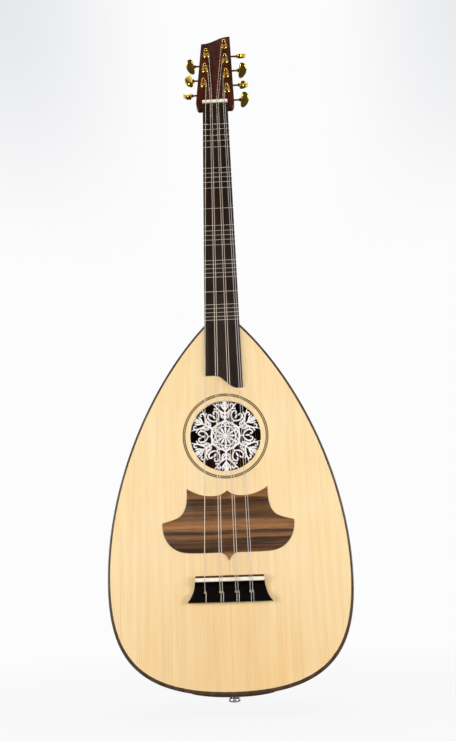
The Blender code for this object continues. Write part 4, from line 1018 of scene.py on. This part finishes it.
PALM_STROKES = (
    ((0.600, 0.0, 0.036), (0.660, 0.050, 0.036), (0.720, 0.130, 0.038), (0.790, 0.215, 0.040),
     (0.870, 0.250, 0.040), (0.915, 0.205, 0.036), (0.890, 0.155, 0.034), (0.855, 0.170, 0.040)),
    ((0.830, 0.235, 0.034), (0.880, 0.290, 0.032), (0.925, 0.330, 0.020), (0.945, 0.335, 0.012)),
    ((0.740, 0.010, 0.030), (0.810, 0.060, 0.050), (0.880, 0.100, 0.046), (0.960, 0.110, 0.016)),
    ((0.520, 0.0, 0.030), (0.560, 0.050, 0.032), (0.610, 0.085, 0.032), (0.650, 0.080, 0.030),
     (0.655, 0.045, 0.036)),
    ((0.650, 0.075, 0.028), (0.690, 0.120, 0.028), (0.700, 0.175, 0.028), (0.665, 0.205, 0.028),
     (0.640, 0.175, 0.032)),
    ((0.860, 0.045, 0.026), (0.915, 0.050, 0.030), (0.965, 0.030, 0.030), (0.985, 0.060, 0.030)),
    ((0.300, 0.0, 0.022), (0.345, 0.040, 0.026), (0.355, 0.085, 0.028), (0.325, 0.100, 0.028)),
)
PALM_LEAF = (
    (0.280, 0.0, 0.020), (0.400, 0.0, 0.040), (0.480, 0.0, 0.060), (0.600, 0.0, 0.044),
    (0.720, 0.0, 0.040), (0.800, 0.0, 0.052), (0.880, 0.0, 0.060), (0.950, 0.0, 0.040),
    (1.000, 0.0, 0.016),
)
STAR_RING = ((0.268, -0.072, 0.030), (0.292, 0.0, 0.036), (0.268, 0.072, 0.030))
STAR_REACHES = (0.262, 0.285)
STROKE_SHARE = 0.52
STROKE_RADIUS = 0.001


def rosette_strokes():
    """All the rosette's strokes: points in metres, each with its width as a share of STROKE_RADIUS."""
    strokes = []

    def draw(stroke, angle, side=1):
        axis = at_angle(angle)
        beside = Vector((-axis.y, axis.x))
        line = []
        for out, sideways, width in flowing(stroke, 4):
            x, y = (axis * out + beside * sideways * side) * SOUND_HOLE_RADIUS
            line.append((x, y, 0.0, width * STROKE_SHARE * SOUND_HOLE_RADIUS / STROKE_RADIUS))
        strokes.append(line)

    for part in range(6):
        heart = part * math.pi / 3
        palm = heart + math.pi / 6
        for side in (-1, 1):
            for stroke in LOBE_STROKES:
                draw(stroke, heart, side)
            for stroke in PALM_STROKES:
                draw(stroke, palm, side)
        for stroke in (*LOBE_LEAVES, STAR_RING):
            draw(stroke, heart)
        for stroke in (PALM_LEAF, STAR_RING):
            draw(stroke, palm)
    for petal in range(12):
        tip = (STAR_REACHES[petal % 2], 0.0, 0.014)
        leaf = ((0.030, 0.0, 0.020), (0.120, 0.0, 0.040), (0.200, 0.0, 0.066), tip)
        draw(leaf, petal * math.pi / 6)
    return strokes


def build_rosette():
    """The drawn strokes, a rim behind the sound hole's edge, and a boss in the middle."""
    centre = (0.0, SOUND_HOLE_Z)
    middle = Matrix.Translation((0.0, BOWL_FRONT + ROSETTE_THICKNESS / 2, SOUND_HOLE_Z))
    facing = middle @ Matrix.Rotation(math.pi / 2, 4, "X")
    carving = shape_of(cord(rosette_strokes(), STROKE_RADIUS))
    bmesh.ops.scale(carving, vec=(1.0, 1.0, 0.5), verts=carving.verts)
    boss = turned(((0.0, 0.0009), (0.0016, 0.0008), (0.0024, 0.0), (0.0, -0.0005)), 24)
    radii = (SOUND_HOLE_RADIUS + ROSETTE_MARGIN, SOUND_HOLE_RADIUS - GAP)
    rim_plate = plate([circle(radius, 96, centre) for radius in radii], BOWL_FRONT, ROSETTE_THICKNESS)
    whole = joined(placed(carving, facing), rim_plate, placed(boss, facing))
    settle("rosette_carving", whole, "rosette_white", stands_for=["rosette"])


# Bridge and strings


def build_bridge():
    flare = (BRIDGE_FOOT_WIDTH - BRIDGE_TOP_WIDTH) / 2
    start = Vector((BRIDGE_TOP_WIDTH / 2, BRIDGE_TOP))
    end = Vector((BRIDGE_FOOT_WIDTH / 2, BRIDGE_FOOT))
    upper = start + Vector((0.15 * flare, -0.50 * BRIDGE_LENGTH))
    lower = end + Vector((-0.70 * flare, 0.25 * BRIDGE_LENGTH))
    shape = plate([mirrored(run((start, upper, lower, end), 24))], BRIDGE_FRONT, BRIDGE_HEIGHT)
    reach = BRIDGE_FOOT_WIDTH
    slot_half = SADDLE_THICKNESS / 2 + GAP
    slot = block(
        (-reach, BRIDGE_FRONT - BRIDGE_HEIGHT, SADDLE_Z - slot_half),
        (reach, BRIDGE_SEAT - SADDLE_SLOT_FLOOR, SADDLE_Z + slot_half),
    )
    floor = BRIDGE_SEAT - BRIDGE_VALLEY_HEIGHT
    top = SADDLE_Z - slot_half - BRIDGE_LIP
    slope = floor - BRIDGE_FRONT
    bend = (BRIDGE_FRONT + slope * 0.5, top - slope * 0.35)
    section = flowing(((BRIDGE_FRONT - GAP, top), bend, (floor, top - slope)), 5)
    section += [(floor, TIE_BLOCK_TOP), (BRIDGE_FRONT - GAP, TIE_BLOCK_TOP)]
    valley = slab([(-reach, p[0], p[1]) for p in section], (2 * reach, 0.0, 0.0))
    depth = TIE_BLOCK_TOP - BRIDGE_FOOT
    middle = (BRIDGE_FOOT + TIE_BLOCK_TOP) / 2
    holes = [
        rod(TIE_HOLE_RADIUS, 2 * depth, 20, Matrix.Translation((saddle_x, TIE_HOLE_FRONT, middle)))
        for _, _, saddle_x, _ in strings()
    ]
    shape = carved(shape, slot, valley, joined(*holes))
    item = settle("bridge_block", shape, "black_wood", stands_for=["bridge"], angle=30.0)
    soften_edges(item, BRIDGE_EDGE, 2, 40.0)


def strings():
    """Each string from left to right: its radius, its x at the nut and at the saddle, its tuner."""
    rows = []
    for radius, nut, saddle, count in COURSES:
        for number in range(count):
            offset = number - (count - 1) / 2
            at_nut = nut + offset * PAIR_SPREAD_AT_NUT
            at_saddle = saddle + offset * PAIR_SPREAD_AT_SADDLE
            rows.append((radius, at_nut, at_saddle, STRING_TUNERS[len(rows)]))
    return rows


def tail_route(radius, x):
    """The string's tail: tucked under itself, over the tie block and back through its hole."""
    clear = radius + GAP
    beside = 2 * radius + TIE_LOOP_SPACE
    slant = clear * math.sqrt(0.5)
    places = (
        (beside, (BRIDGE_FRONT + TIE_HOLE_FRONT) / 2, TIE_BLOCK_TOP + clear),
        (beside, BRIDGE_FRONT, TIE_BLOCK_TOP + clear),
        (beside, BRIDGE_FRONT - slant, TIE_BLOCK_TOP + slant),
        (beside, BRIDGE_FRONT - clear, TIE_BLOCK_TOP),
        (beside * 0.7, BRIDGE_FRONT - clear, BRIDGE_FOOT),
        (beside * 0.5, BRIDGE_FRONT, BRIDGE_FOOT - clear),
        (0.0, TIE_HOLE_FRONT - clear / 2, BRIDGE_FOOT - clear),
        (0.0, TIE_HOLE_FRONT, BRIDGE_FOOT - clear / 2),
        (0.0, TIE_HOLE_FRONT, TIE_BLOCK_TOP),
    )
    return [Vector((x + across, front, height)) for across, front, height in places]


def twist_route(x):
    """The string's short twist round itself, up from the tie block."""
    knot = Vector((x, BRIDGE_FRONT + TWIST_INSET, TIE_BLOCK_TOP + TWIST_INSET))
    route = []
    for step in range(TWIST_STEPS):
        across, back = at_angle(TWIST_TURN * step)
        offset = Vector((TWIST_HALF_WIDTH * across, TWIST_HALF_DEPTH * back, TWIST_RISE * step))
        route.append(knot + offset)
    return route


def winding(radius, start, post, side):
    """From the post's inner side round its cone in a rising helix, in the head's frame."""
    pitch = 2 * radius + WINDING_PITCH_SPACE
    first_height = STRING_HOLE_HEIGHT - 2 * WINDING_SPACE - 2 * radius - WINDING_LENGTH
    sign = 1 if side == "left" else -1

    def reach(height):
        share = (height - POST_FOOT_HEIGHT) / (POST_WAIST_HEIGHT - POST_FOOT_HEIGHT)
        narrowing = (POST_WAIST_RADIUS - POST_FOOT_RADIUS) * min(max(share, 0.0), 1.0)
        return POST_FOOT_RADIUS + narrowing + WINDING_SPACE + radius

    towards = (start - post).xy
    first = math.atan2(towards.y, towards.x) + sign * math.acos(reach(first_height) / towards.length)
    route = []
    for step in range(int(WINDING_LENGTH / pitch * WINDING_STEPS) + 1):
        angle = first + sign * 2 * math.pi * step / WINDING_STEPS
        height = first_height + pitch * step / WINDING_STEPS
        across = at_angle(angle, reach(height))
        route.append(HEAD_FRAME @ Vector((post.x + across.x, post.y + across.y, height)))
    return route


def build_strings():
    """Each string from its tie at the bridge to its post, its winding, twist and short end."""
    to_head = HEAD_FRAME.inverted()
    for number, (radius, nut_x, saddle_x, tuner) in enumerate(strings(), start=1):
        finish = "wound_string" if radius > PLAIN_STRING_RADIUS else "plain_string"
        nut = Vector((nut_x, FINGERBOARD_FRONT - NUT_ACTION - radius, NUT_Z))
        nut_top = nut + Vector((0.0, 0.0, NUT_THICKNESS))
        saddle = Vector((saddle_x, BOARD_FRONT - SADDLE_HEIGHT - GAP - radius, SADDLE_Z))
        up = Vector((0.0, 0.0, SADDLE_THICKNESS / 4))
        before = saddle - 2 * up + STRING_DIP
        length = [(saddle + up).lerp(nut, share / 12) for share in range(13)]
        post = to_head @ JOINT_PLACES[f"post_{tuner}"]
        wound_on = winding(radius, to_head @ nut_top, post, tuner.split("_")[0])
        route = [*eased(tail_route(radius, saddle_x)), before, saddle - up, *length, nut_top, *wound_on[:2]]
        settle(f"winding_{number}", cord([wound_on], radius), "bronze_winding", angle=60.0)
        string = cord([route], radius, 3)
        settle(f"cord_{number}", string, finish, stands_for=[f"string_{number}"], angle=60.0)
        settle(f"tie_twist_{number}", cord([twist_route(saddle_x)], radius * THIN), finish)
        stub = [
            HEAD_FRAME @ Vector((post.x + across, post.y, STRING_HOLE_HEIGHT))
            for across in STRING_END_ACROSS
        ]
        end = cord([stub], radius * THIN)
        settle(f"string_end_{number}", end, finish, body=f"post_{tuner}", angle=60.0)


# Neck and headstock


def neck_half_width(distance):
    growth = (NECK_WIDTH_AT_BODY - NECK_WIDTH_AT_NUT) / JOINT_DOWN
    return (NECK_WIDTH_AT_NUT + growth * distance) / 2


def neck_section(distance, steps=30):
    """The neck's D section at a place along it, from its right front corner round to the left one.

    Its depth tapers towards the nut, and is then swept up to the headstock's foot.
    """
    half = neck_half_width(distance)
    joint_half = neck_half_width(JOINT_DOWN)
    joint_depth = BOWL_FRONT + joint_half - BOARD_FRONT
    below = HEAD_FOOT_BELOW_NUT + NUT_THICKNESS
    foot_depth = HEAD_THICKNESS / math.cos(HEAD_TILT) - below * math.tan(HEAD_TILT)
    sweep_start = HEAD_FOOT_BELOW_NUT + GAP + NECK_SWEEP_LENGTH
    if distance >= sweep_start:
        share = (distance - sweep_start) / (JOINT_DOWN - GAP - sweep_start)
        deep = NECK_DEPTH_AT_NUT + (joint_depth - NECK_DEPTH_AT_NUT) * share
    else:
        share = (sweep_start - distance) / NECK_SWEEP_LENGTH
        deep = foot_depth + (NECK_DEPTH_AT_NUT - foot_depth) * (1 + math.cos(math.pi * share)) / 2
    points = [Vector((half, BOARD_FRONT))]
    for angle in (math.pi * step / steps for step in range(steps + 1)):
        depth = (BOWL_FRONT - BOARD_FRONT + joint_half * math.sin(angle)) * deep / joint_depth
        points.append(Vector((half * math.cos(angle), BOARD_FRONT + depth)))
    return points + [Vector((-half, BOARD_FRONT))]


def build_neck():
    shape = bmesh.new()
    first = HEAD_FOOT_BELOW_NUT + GAP
    sweep_end = first + NECK_SWEEP_LENGTH
    places = [first + NECK_SWEEP_LENGTH * step / 12 for step in range(13)]
    places += [sweep_end + (JOINT_DOWN - GAP - sweep_end) * step / 6 for step in range(1, 7)]
    rings = [
        loop_of(shape, [(p.x, p.y, NUT_Z - place) for p in neck_section(place)]) for place in places
    ]
    for upper, lower in zip(rings, rings[1:]):
        bmesh.ops.bridge_loops(shape, edges=upper + lower)
    bmesh.ops.holes_fill(shape, edges=rings[0] + rings[-1], sides=0)
    settle("neck_shaft", tidied(shape), "neck_wood", stands_for=["neck"])


def build_fingerboard():
    """The board, which ends in a step over the soundboard, and the frets tied round it."""
    half = neck_half_width(0.0)
    left_end = Vector((-neck_half_width(FINGERBOARD_LEFT_DOWN), NUT_Z - FINGERBOARD_LEFT_DOWN))
    right_end = Vector((neck_half_width(FINGERBOARD_RIGHT_DOWN), NUT_Z - FINGERBOARD_RIGHT_DOWN))
    step_start = Vector((FINGERBOARD_STEP[0], left_end.y))
    step_end = Vector((FINGERBOARD_STEP[1], right_end.y))
    reach = Vector(((step_end.x - step_start.x) * 0.35, 0.0))
    step = run((step_end, step_end - reach, step_start + reach, step_start), 20)
    outline = [(half, NUT_Z - GAP), right_end, *step, left_end, (-half, NUT_Z - GAP)]
    shape = plate([outline], FINGERBOARD_FRONT, FINGERBOARD_THICKNESS, FINGERBOARD_EDGE)
    settle("fingerboard_plate", shape, "fingerboard_wood", stands_for=["fingerboard"])
    for number, commas in enumerate(FRET_COMMAS, start=1):
        distance = (SCALE_LENGTH - SADDLE_SETBACK) * (1 - 2 ** (-commas / COMMAS_IN_OCTAVE))
        fret = tied_fret(distance)
        settle(f"tied_fret_{number:02d}", fret, "fret_gut", angle=60.0)


def tied_fret(distance):
    """A loop of gut round neck and fingerboard, drawn tight by a knot at the bass side."""
    height = NUT_Z - distance
    half = neck_half_width(distance)
    back = neck_section(distance, 24)[1:-1]
    front = [Vector((half * (step / 4 - 1), FINGERBOARD_FRONT)) for step in range(9)]
    section = [front[-1], *back, *front[:-1]]
    loop = []
    for before, point, after in zip([section[-1], *section], section, [*section[1:], section[0]]):
        along = (point - before).normalized() + (after - point).normalized()
        away = Vector((-along.y, along.x)).normalized()
        spot = point + away * (FRET_RADIUS - FRET_SINK)
        loop.append(Vector((spot.x, spot.y, height)))
    ring = shape_of(cord([loop], FRET_RADIUS, closed=True))
    corner = neck_section(distance, 8)[7]
    knot_place = Vector((corner.x - FRET_RADIUS, corner.y + FRET_RADIUS, height))
    knot = bmesh.new()
    bmesh.ops.create_uvsphere(knot, u_segments=10, v_segments=8, radius=FRET_KNOT_RADIUS)
    bmesh.ops.scale(knot, vec=FRET_KNOT_SHAPE, verts=knot.verts)
    placed(knot, Matrix.Translation(knot_place))
    ends = []
    for side in (-1, 1):
        bends = [knot_place + Vector((x, y, side * z)) for x, y, z in FRET_END_BENDS]
        ends.append(eased([knot_place, *bends]))
    return joined(ring, knot, shape_of(cord(ends, FRET_RADIUS * THIN)))


def head_outline():
    foot = -(HEAD_FOOT_BELOW_NUT + NUT_THICKNESS) / math.cos(HEAD_TILT)
    half = HEAD_WIDTH_AT_FOOT / 2
    neck = neck_half_width(HEAD_FOOT_BELOW_NUT)
    below, start = Vector((neck, foot - HEAD_THICKNESS)), Vector((neck, foot))
    end = Vector((half, foot + HEAD_SHOULDER_LENGTH))
    round_out = Vector(((half - neck) * 0.8, 0.0))
    round_up = Vector((0.0, HEAD_SHOULDER_LENGTH * 0.6))
    shoulder = run((start, start + round_out, end - round_up, end), 16)
    right, left = HEAD_RIGHT_CORNER, HEAD_LEFT_CORNER
    sweep = Vector(((right.x - left.x) * 0.48, 0.0006))
    top = run((right, right - sweep, left + sweep, left), 30)
    return [below, *shoulder, *top, *(Vector((-p.x, p.y)) for p in reversed([below, *shoulder]))]


def build_headstock():
    """The pierced head, cut off in line with the soundboard's front and at its foot."""
    to_head = HEAD_FRAME.inverted()
    shape = bmesh.new()
    lines = [head_outline()]
    lines += [circle(HEAD_HOLE_RADIUS, 32, to_head @ JOINT_PLACES[f"post_{t}"]) for t in KEY_TURNS]
    edges = [edge for line in lines for edge in loop_of(shape, [(p.x, p.y, 0.0) for p in line])]
    fill(shape, edges)
    thicken(shape, (0.0, 0.0, -HEAD_THICKNESS))
    placed(shape, HEAD_FRAME)
    for spot, outwards in (
        ((0.0, BOARD_FRONT, 0.0), (0.0, -1.0, 0.0)),
        ((0.0, 0.0, NUT_Z - HEAD_FOOT_BELOW_NUT), (0.0, 0.0, -1.0)),
    ):
        cut = bmesh.ops.bisect_plane(
            shape, geom=[*shape.verts, *shape.edges, *shape.faces], plane_co=spot, plane_no=outwards,
            clear_outer=True,
        )["geom_cut"]
        line = [item for item in cut if isinstance(item, bmesh.types.BMEdge)]
        bmesh.ops.holes_fill(shape, edges=line, sides=0)
    item = settle("head_plate", tidied(shape), "head_wood", stands_for=["headstock"], angle=30.0)
    soften_edges(item, HEAD_EDGE, 3, 50.0)


# Tuners


def bushing():
    """Flanged bushing on the head's face, round the post, with its barrel through the head."""
    outer = (
        (0.0029, 0.0020), (0.0038, 0.0020), (0.0045, 0.0017), (0.0050, 0.0010), (0.0056, 0.0009),
        (0.0058, 0.0006), (0.0058, GAP), (0.0036, GAP), (0.0036, -0.0112), (0.0029, -0.0112),
    )
    return turned((*outer, outer[0]), 40)


def gear_case():
    """Cast case at the head's back, open towards the nut, with a lug for its screw."""
    case = block((*CASE_LOW, HEAD_BACK - CASE_DEPTH), (*CASE_HIGH, HEAD_BACK))
    mouth = [face for face in case.faces if face.normal.y < -0.9]
    bmesh.ops.delete(case, geom=mouth, context="FACES")
    softened(case, [e for e in case.edges if len(e.link_faces) == 2], CASE_ROUNDING, 3)
    bmesh.ops.solidify(case, geom=case.faces[:], thickness=CASE_WALL)
    lug_low = (-LUG_HALF_WIDTH, LUG_START, HEAD_BACK - LUG_THICKNESS)
    lug = block(lug_low, (LUG_HALF_WIDTH, LUG_END, HEAD_BACK - GAP))
    corners = []
    for edge in lug.edges:
        along = (edge.verts[0].co - edge.verts[1].co).normalized()
        if abs(along.z) > 0.9 and edge.verts[0].co.y > SCREW_ALONG:
            corners.append(edge)
    return joined(tidied(case), softened(lug, corners, LUG_ROUNDING, 6))


def case_screw():
    """Domed screw head on the lug, with a cross cut into it."""
    rim_line = ((0.0010, -0.00112), (0.0018, -0.00075), (0.0022, -0.0002), (0.0022, 0.0))
    dome = turned(((0.0, -0.0012), *rim_line, (0.0, 0.0)), 28)
    long, thin = 0.0013, 0.00022
    cross = [
        block((-x, -y, -0.0020), (x, y, -0.0006)) for x, y in ((long, thin), (thin, long))
    ]
    return placed(carved(dome, *cross), Matrix.Translation((0.0, SCREW_ALONG, HEAD_BACK - LUG_THICKNESS)))


def string_post():
    """Waisted post with a hole for its string, and its gear on a thin end behind the head."""
    floor = -HEAD_THICKNESS - POST_END_BEHIND
    neck = -HEAD_THICKNESS - POST_SHOULDER_BEHIND
    profile = (
        (0.0, POST_HEIGHT), (0.0012, POST_HEIGHT - 0.0001), (0.0021, POST_HEIGHT - 0.0004),
        (0.0027, POST_HEIGHT - 0.0010), (POST_HEAD_RADIUS, POST_HEIGHT - 0.0018),
        (0.00275, 0.0112), (0.0024, 0.0106), (POST_WAIST_RADIUS, POST_WAIST_HEIGHT),
        (POST_FOOT_RADIUS, POST_FOOT_HEIGHT), (POST_FOOT_RADIUS, 0.0029), (POST_RADIUS, 0.0025),
        (POST_RADIUS, neck), (0.0018, neck), (0.0018, floor), (0.0, floor),
    )
    across = Matrix.Translation((0.0, 0.0, STRING_HOLE_HEIGHT)) @ Matrix.Rotation(math.pi / 2, 4, "Y")
    post = carved(turned(profile, 32), rod(STRING_HOLE_RADIUS, 0.010, 16, across))
    outline = []
    tip, root = GEAR_TIP_RADIUS, GEAR_ROOT_RADIUS
    for tooth in range(GEAR_TEETH):
        for offset, radius in ((-0.11, tip), (0.11, tip), (0.17, root), (0.28, root)):
            angle = 2 * math.pi * tooth / GEAR_TEETH + offset
            outline.append((*at_angle(angle, radius), WORM_HEIGHT - GEAR_THICKNESS / 2))
    return joined(post, slab(outline, (0.0, 0.0, GEAR_THICKNESS)))


def key():
    """Kidney button, hub, shaft and worm about X, the button out at +X."""
    half_length = BUTTON_LENGTH / 2 - BUTTON_ROUNDING
    phases = [2 * math.pi * index / BUTTON_POINTS for index in range(BUTTON_POINTS)]
    raw = [math.cos(phase - BUTTON_SKEW) + BUTTON_HOLLOW * math.cos(2 * phase) for phase in phases]
    scale = (BUTTON_WIDTH - 2 * BUTTON_ROUNDING) / (max(raw) - min(raw))
    middle = (max(raw) + min(raw)) / 2
    curve = bpy.data.curves.new("button", "CURVE")
    curve.dimensions = "2D"
    curve.fill_mode = "BOTH"
    curve.extrude = BUTTON_THICKNESS / 2 - BUTTON_ROUNDING
    curve.bevel_depth = BUTTON_ROUNDING
    curve.bevel_resolution = 5
    spline = curve.splines.new("POLY")
    spline.points.add(len(phases) - 1)
    for point, value, phase in zip(spline.points, raw, phases):
        across = BUTTON_CENTRE + (value - middle) * scale
        point.co = (across, half_length * math.sin(phase), 0.0, 1.0)
    spline.use_cyclic_u = True
    button = tidied(shape_of(made_from(added("button", curve))))
    inner = BUTTON_CENTRE - BUTTON_WIDTH / 2
    profile = [
        (0.0, BUTTON_CENTRE), (0.0020, BUTTON_CENTRE), (0.0026, inner + 0.0016),
        (0.0029, inner + 0.0006), (0.0029, inner - 0.0006), (0.0024, inner - 0.0012),
        (0.0024, inner - 0.0018), (0.0015, inner - 0.0022), (0.0015, 0.0092), (0.0024, 0.0090),
        (0.0024, 0.0081), (0.0015, 0.0080), (0.0015, 0.0040),
    ]
    for index in range(WORM_RIDGES):
        profile.append((0.0018 if index % 2 else 0.0013, WORM_START - index * WORM_RIDGE_SPACING))
    profile += [(0.0013, -0.0047), (0.0, -0.0047)]
    shaft = placed(turned(profile, 24), Matrix.Rotation(math.pi / 2, 4, "Y"))
    return carved(button, shaft, operation="UNION")


def build_tuners():
    case, collar, screw, post, button = (
        mesh_of(made()) for made in (gear_case, bushing, case_screw, string_post, key)
    )
    for tuner, degrees in KEY_TURNS.items():
        flip = Matrix.Scale(-1.0, 4, (1.0, 0.0, 0.0)) if tuner.startswith("left") else Matrix()
        on_head = Matrix.Translation(JOINT_PLACES[f"post_{tuner}"]) @ HEAD_TURN
        key_axis = Matrix.Translation(JOINT_PLACES[f"key_{tuner}"]) @ HEAD_TURN
        turn = Matrix.Rotation(math.radians(degrees), 4, "X")
        for label, mesh, finish, matrix, body, node_name in (
            ("gear_case", case, "gold", on_head, "instrument", "tuner_housing"),
            ("post_bushing", collar, "gold", on_head, "instrument", None),
            ("case_screw", screw, "steel_screw", on_head, "instrument", None),
            ("string_spindle", post, "gold", on_head, f"post_{tuner}", "string_post"),
            ("tuner_button", button, "gold", key_axis @ turn, f"key_{tuner}", "tuner_key"),
        ):
            shape = placed(shape_of(mesh), matrix @ flip)
            stood_for = [f"{node_name}_{tuner}"] if node_name else []
            settle(f"{label}_{tuner}", shape, finish, body, stood_for)
    for mesh in (case, collar, screw, post, button):
        bpy.data.meshes.remove(mesh)


def build_end_pin():
    profile = (
        (0.0, PIN_LENGTH + 0.0130), (0.0019, PIN_LENGTH + 0.0110), (0.0019, PIN_LENGTH),
        (0.0050, PIN_LENGTH), (0.0052, PIN_LENGTH - 0.0003), (0.0051, PIN_LENGTH - 0.0010),
        (0.0044, PIN_LENGTH - 0.0022), (0.0042, 0.0068), (0.0046, 0.0056), (0.0062, 0.0049),
        (0.0070, 0.0045), (0.0073, 0.0040), (0.0073, 0.0012), (0.0070, 0.0004), (0.0062, 0.0),
        (0.0, 0.0),
    )
    settle("strap_pin", turned(profile, 48), "chrome", stands_for=["end_pin"])


def finish_kept_solids():
    """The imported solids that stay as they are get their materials."""
    for finish, names in (
        ("bone", ("nut", "saddle")),
        ("block_wood", ("neck_block", "tail_block")),
        ("brace_wood", ("brace_upper", "brace_middle", "brace_lower", "brace_belly")),
    ):
        for name in names:
            for slot in frame["nodes"][name].material_slots:
                slot.material = FINISHES[finish]


# Studio: each lamp's place, size in metres and power in watts

FLOOR_RADIUS = 9.0
FLOOR_BELOW = 0.012
BACKDROP_TONE = tone(252, 252, 253)
# Painted shade of the backdrop's top corners.
CORNER_SHADE_TONE = tone(230, 231, 233)
LIGHT_AIM = Vector((0.0, 0.0, 0.25))
LIGHTS = (
    ("soft_box_left", (-1.9, -1.5, 0.50), 0.9, 32.0),
    ("soft_box_right", (2.0, -1.4, 0.45), 0.9, 33.0),
    ("soft_box_top", (0.1, 0.2, 2.6), 1.4, 9.0),
    ("soft_box_front", (0.1, -2.6, 0.05), 1.6, 58.0),
)

# Camera: its turns in degrees, its place, and its focal length and the picture's height in pixels
CAMERA_YAW, CAMERA_PITCH, CAMERA_ROLL = 2.2, -14.27, -1.87
CAMERA_PLACE = (0.04603, BOARD_FRONT - 1.03258, NUT_Z - 0.68033)
FOCAL_PIXELS = 771.0
PICTURE_HEIGHT = 741.0


def build_floor():
    """A pale paper floor that shines only for the camera."""
    shape = bmesh.new()
    bmesh.ops.create_circle(shape, cap_ends=True, segments=64, radius=FLOOR_RADIUS)
    floor = added("studio_floor", mesh_of(shape))
    floor.location.z = -FLOOR_BELOW
    made = Finish("studio_paper")
    paper = made.place.noise((900.0, 900.0, 900.0))
    seen = node(made.tree, "LightPath", {})[0]
    own_light = made.place.length().between(0.30, 0.90, 0.90, 1.0)
    shaded = own_light.mix(tone(230, 230, 230), tone(0, 0, 0))
    made.set(Base_Color=seen.mix(tone(70, 69, 68), shaded), Specular_IOR_Level=0.0)
    made.set(Emission_Color=BACKDROP_TONE, Emission_Strength=own_light * seen)
    made.set(Roughness=paper.between(0.3, 0.7, 0.85, 0.95))
    floor.data.materials.append(made.material)


def build_room():
    """A room to reflect, bright behind and above, with a backdrop for the camera whose top corners grey in
    painted shade.
    """
    world = bpy.data.worlds.new("studio")
    bpy.context.scene.world = world
    world.use_nodes = True
    tree = world.node_tree
    x, y, z = node(tree, "TexCoord", {})[0].parts()
    share = y.between(-0.35, 0.15).reckon("MAXIMUM", z.between(0.90, 1.0, 0.0, 0.5))
    room = share.mix(tone(38, 38, 36), tone(244, 246, 250))
    # Painted shade: the backdrop greys towards its top corners.
    corner = abs(x).between(0.08, 0.28) * z.between(0.36, 0.66)
    backdrop = corner.mix(BACKDROP_TONE, CORNER_SHADE_TONE)
    color = node(tree, "LightPath", {})[0].mix(room, backdrop)
    feed(tree.nodes["Background"], {"Color": color, "Strength": 1.0})


def build_lamps():
    for name, place, size, power in LIGHTS:
        light = bpy.data.lights.new(name, "AREA")
        light.shape = "SQUARE"
        light.size = size
        light.energy = power
        lamp = added(name, light)
        lamp.location = place
        lamp.visible_glossy = name != "soft_box_front"
        lamp.rotation_euler = (LIGHT_AIM - Vector(place)).to_track_quat("-Z", "Y").to_euler()


def build_camera():
    turns = ((CAMERA_ROLL, "Z"), (CAMERA_PITCH, "X"), (CAMERA_YAW, "Y"))
    roll, pitch, yaw = (Matrix.Rotation(math.radians(angle), 3, axis) for angle, axis in turns)
    right, downward, ahead = (Vector((row[0], row[2], -row[1])) for row in roll @ pitch @ yaw)
    camera = bpy.data.cameras.new("camera")
    camera.sensor_width = 36.0
    camera.lens = camera.sensor_width * FOCAL_PIXELS / PICTURE_HEIGHT
    item = added("camera", camera)
    facing = Matrix((right, -downward, -ahead)).transposed().to_4x4()
    item.matrix_world = Matrix.Translation(CAMERA_PLACE) @ facing
    bpy.context.scene.camera = item
    bpy.context.scene.view_settings.view_transform = "Standard"


make_finishes()
build_bowl()
build_tail_cap()
build_edge()
build_top()
build_pickguard()
build_rosette()
build_bridge()
build_neck()
build_fingerboard()
build_headstock()
build_tuners()
build_strings()
build_end_pin()
finish_kept_solids()
build_floor()
build_room()
build_lamps()
build_camera()
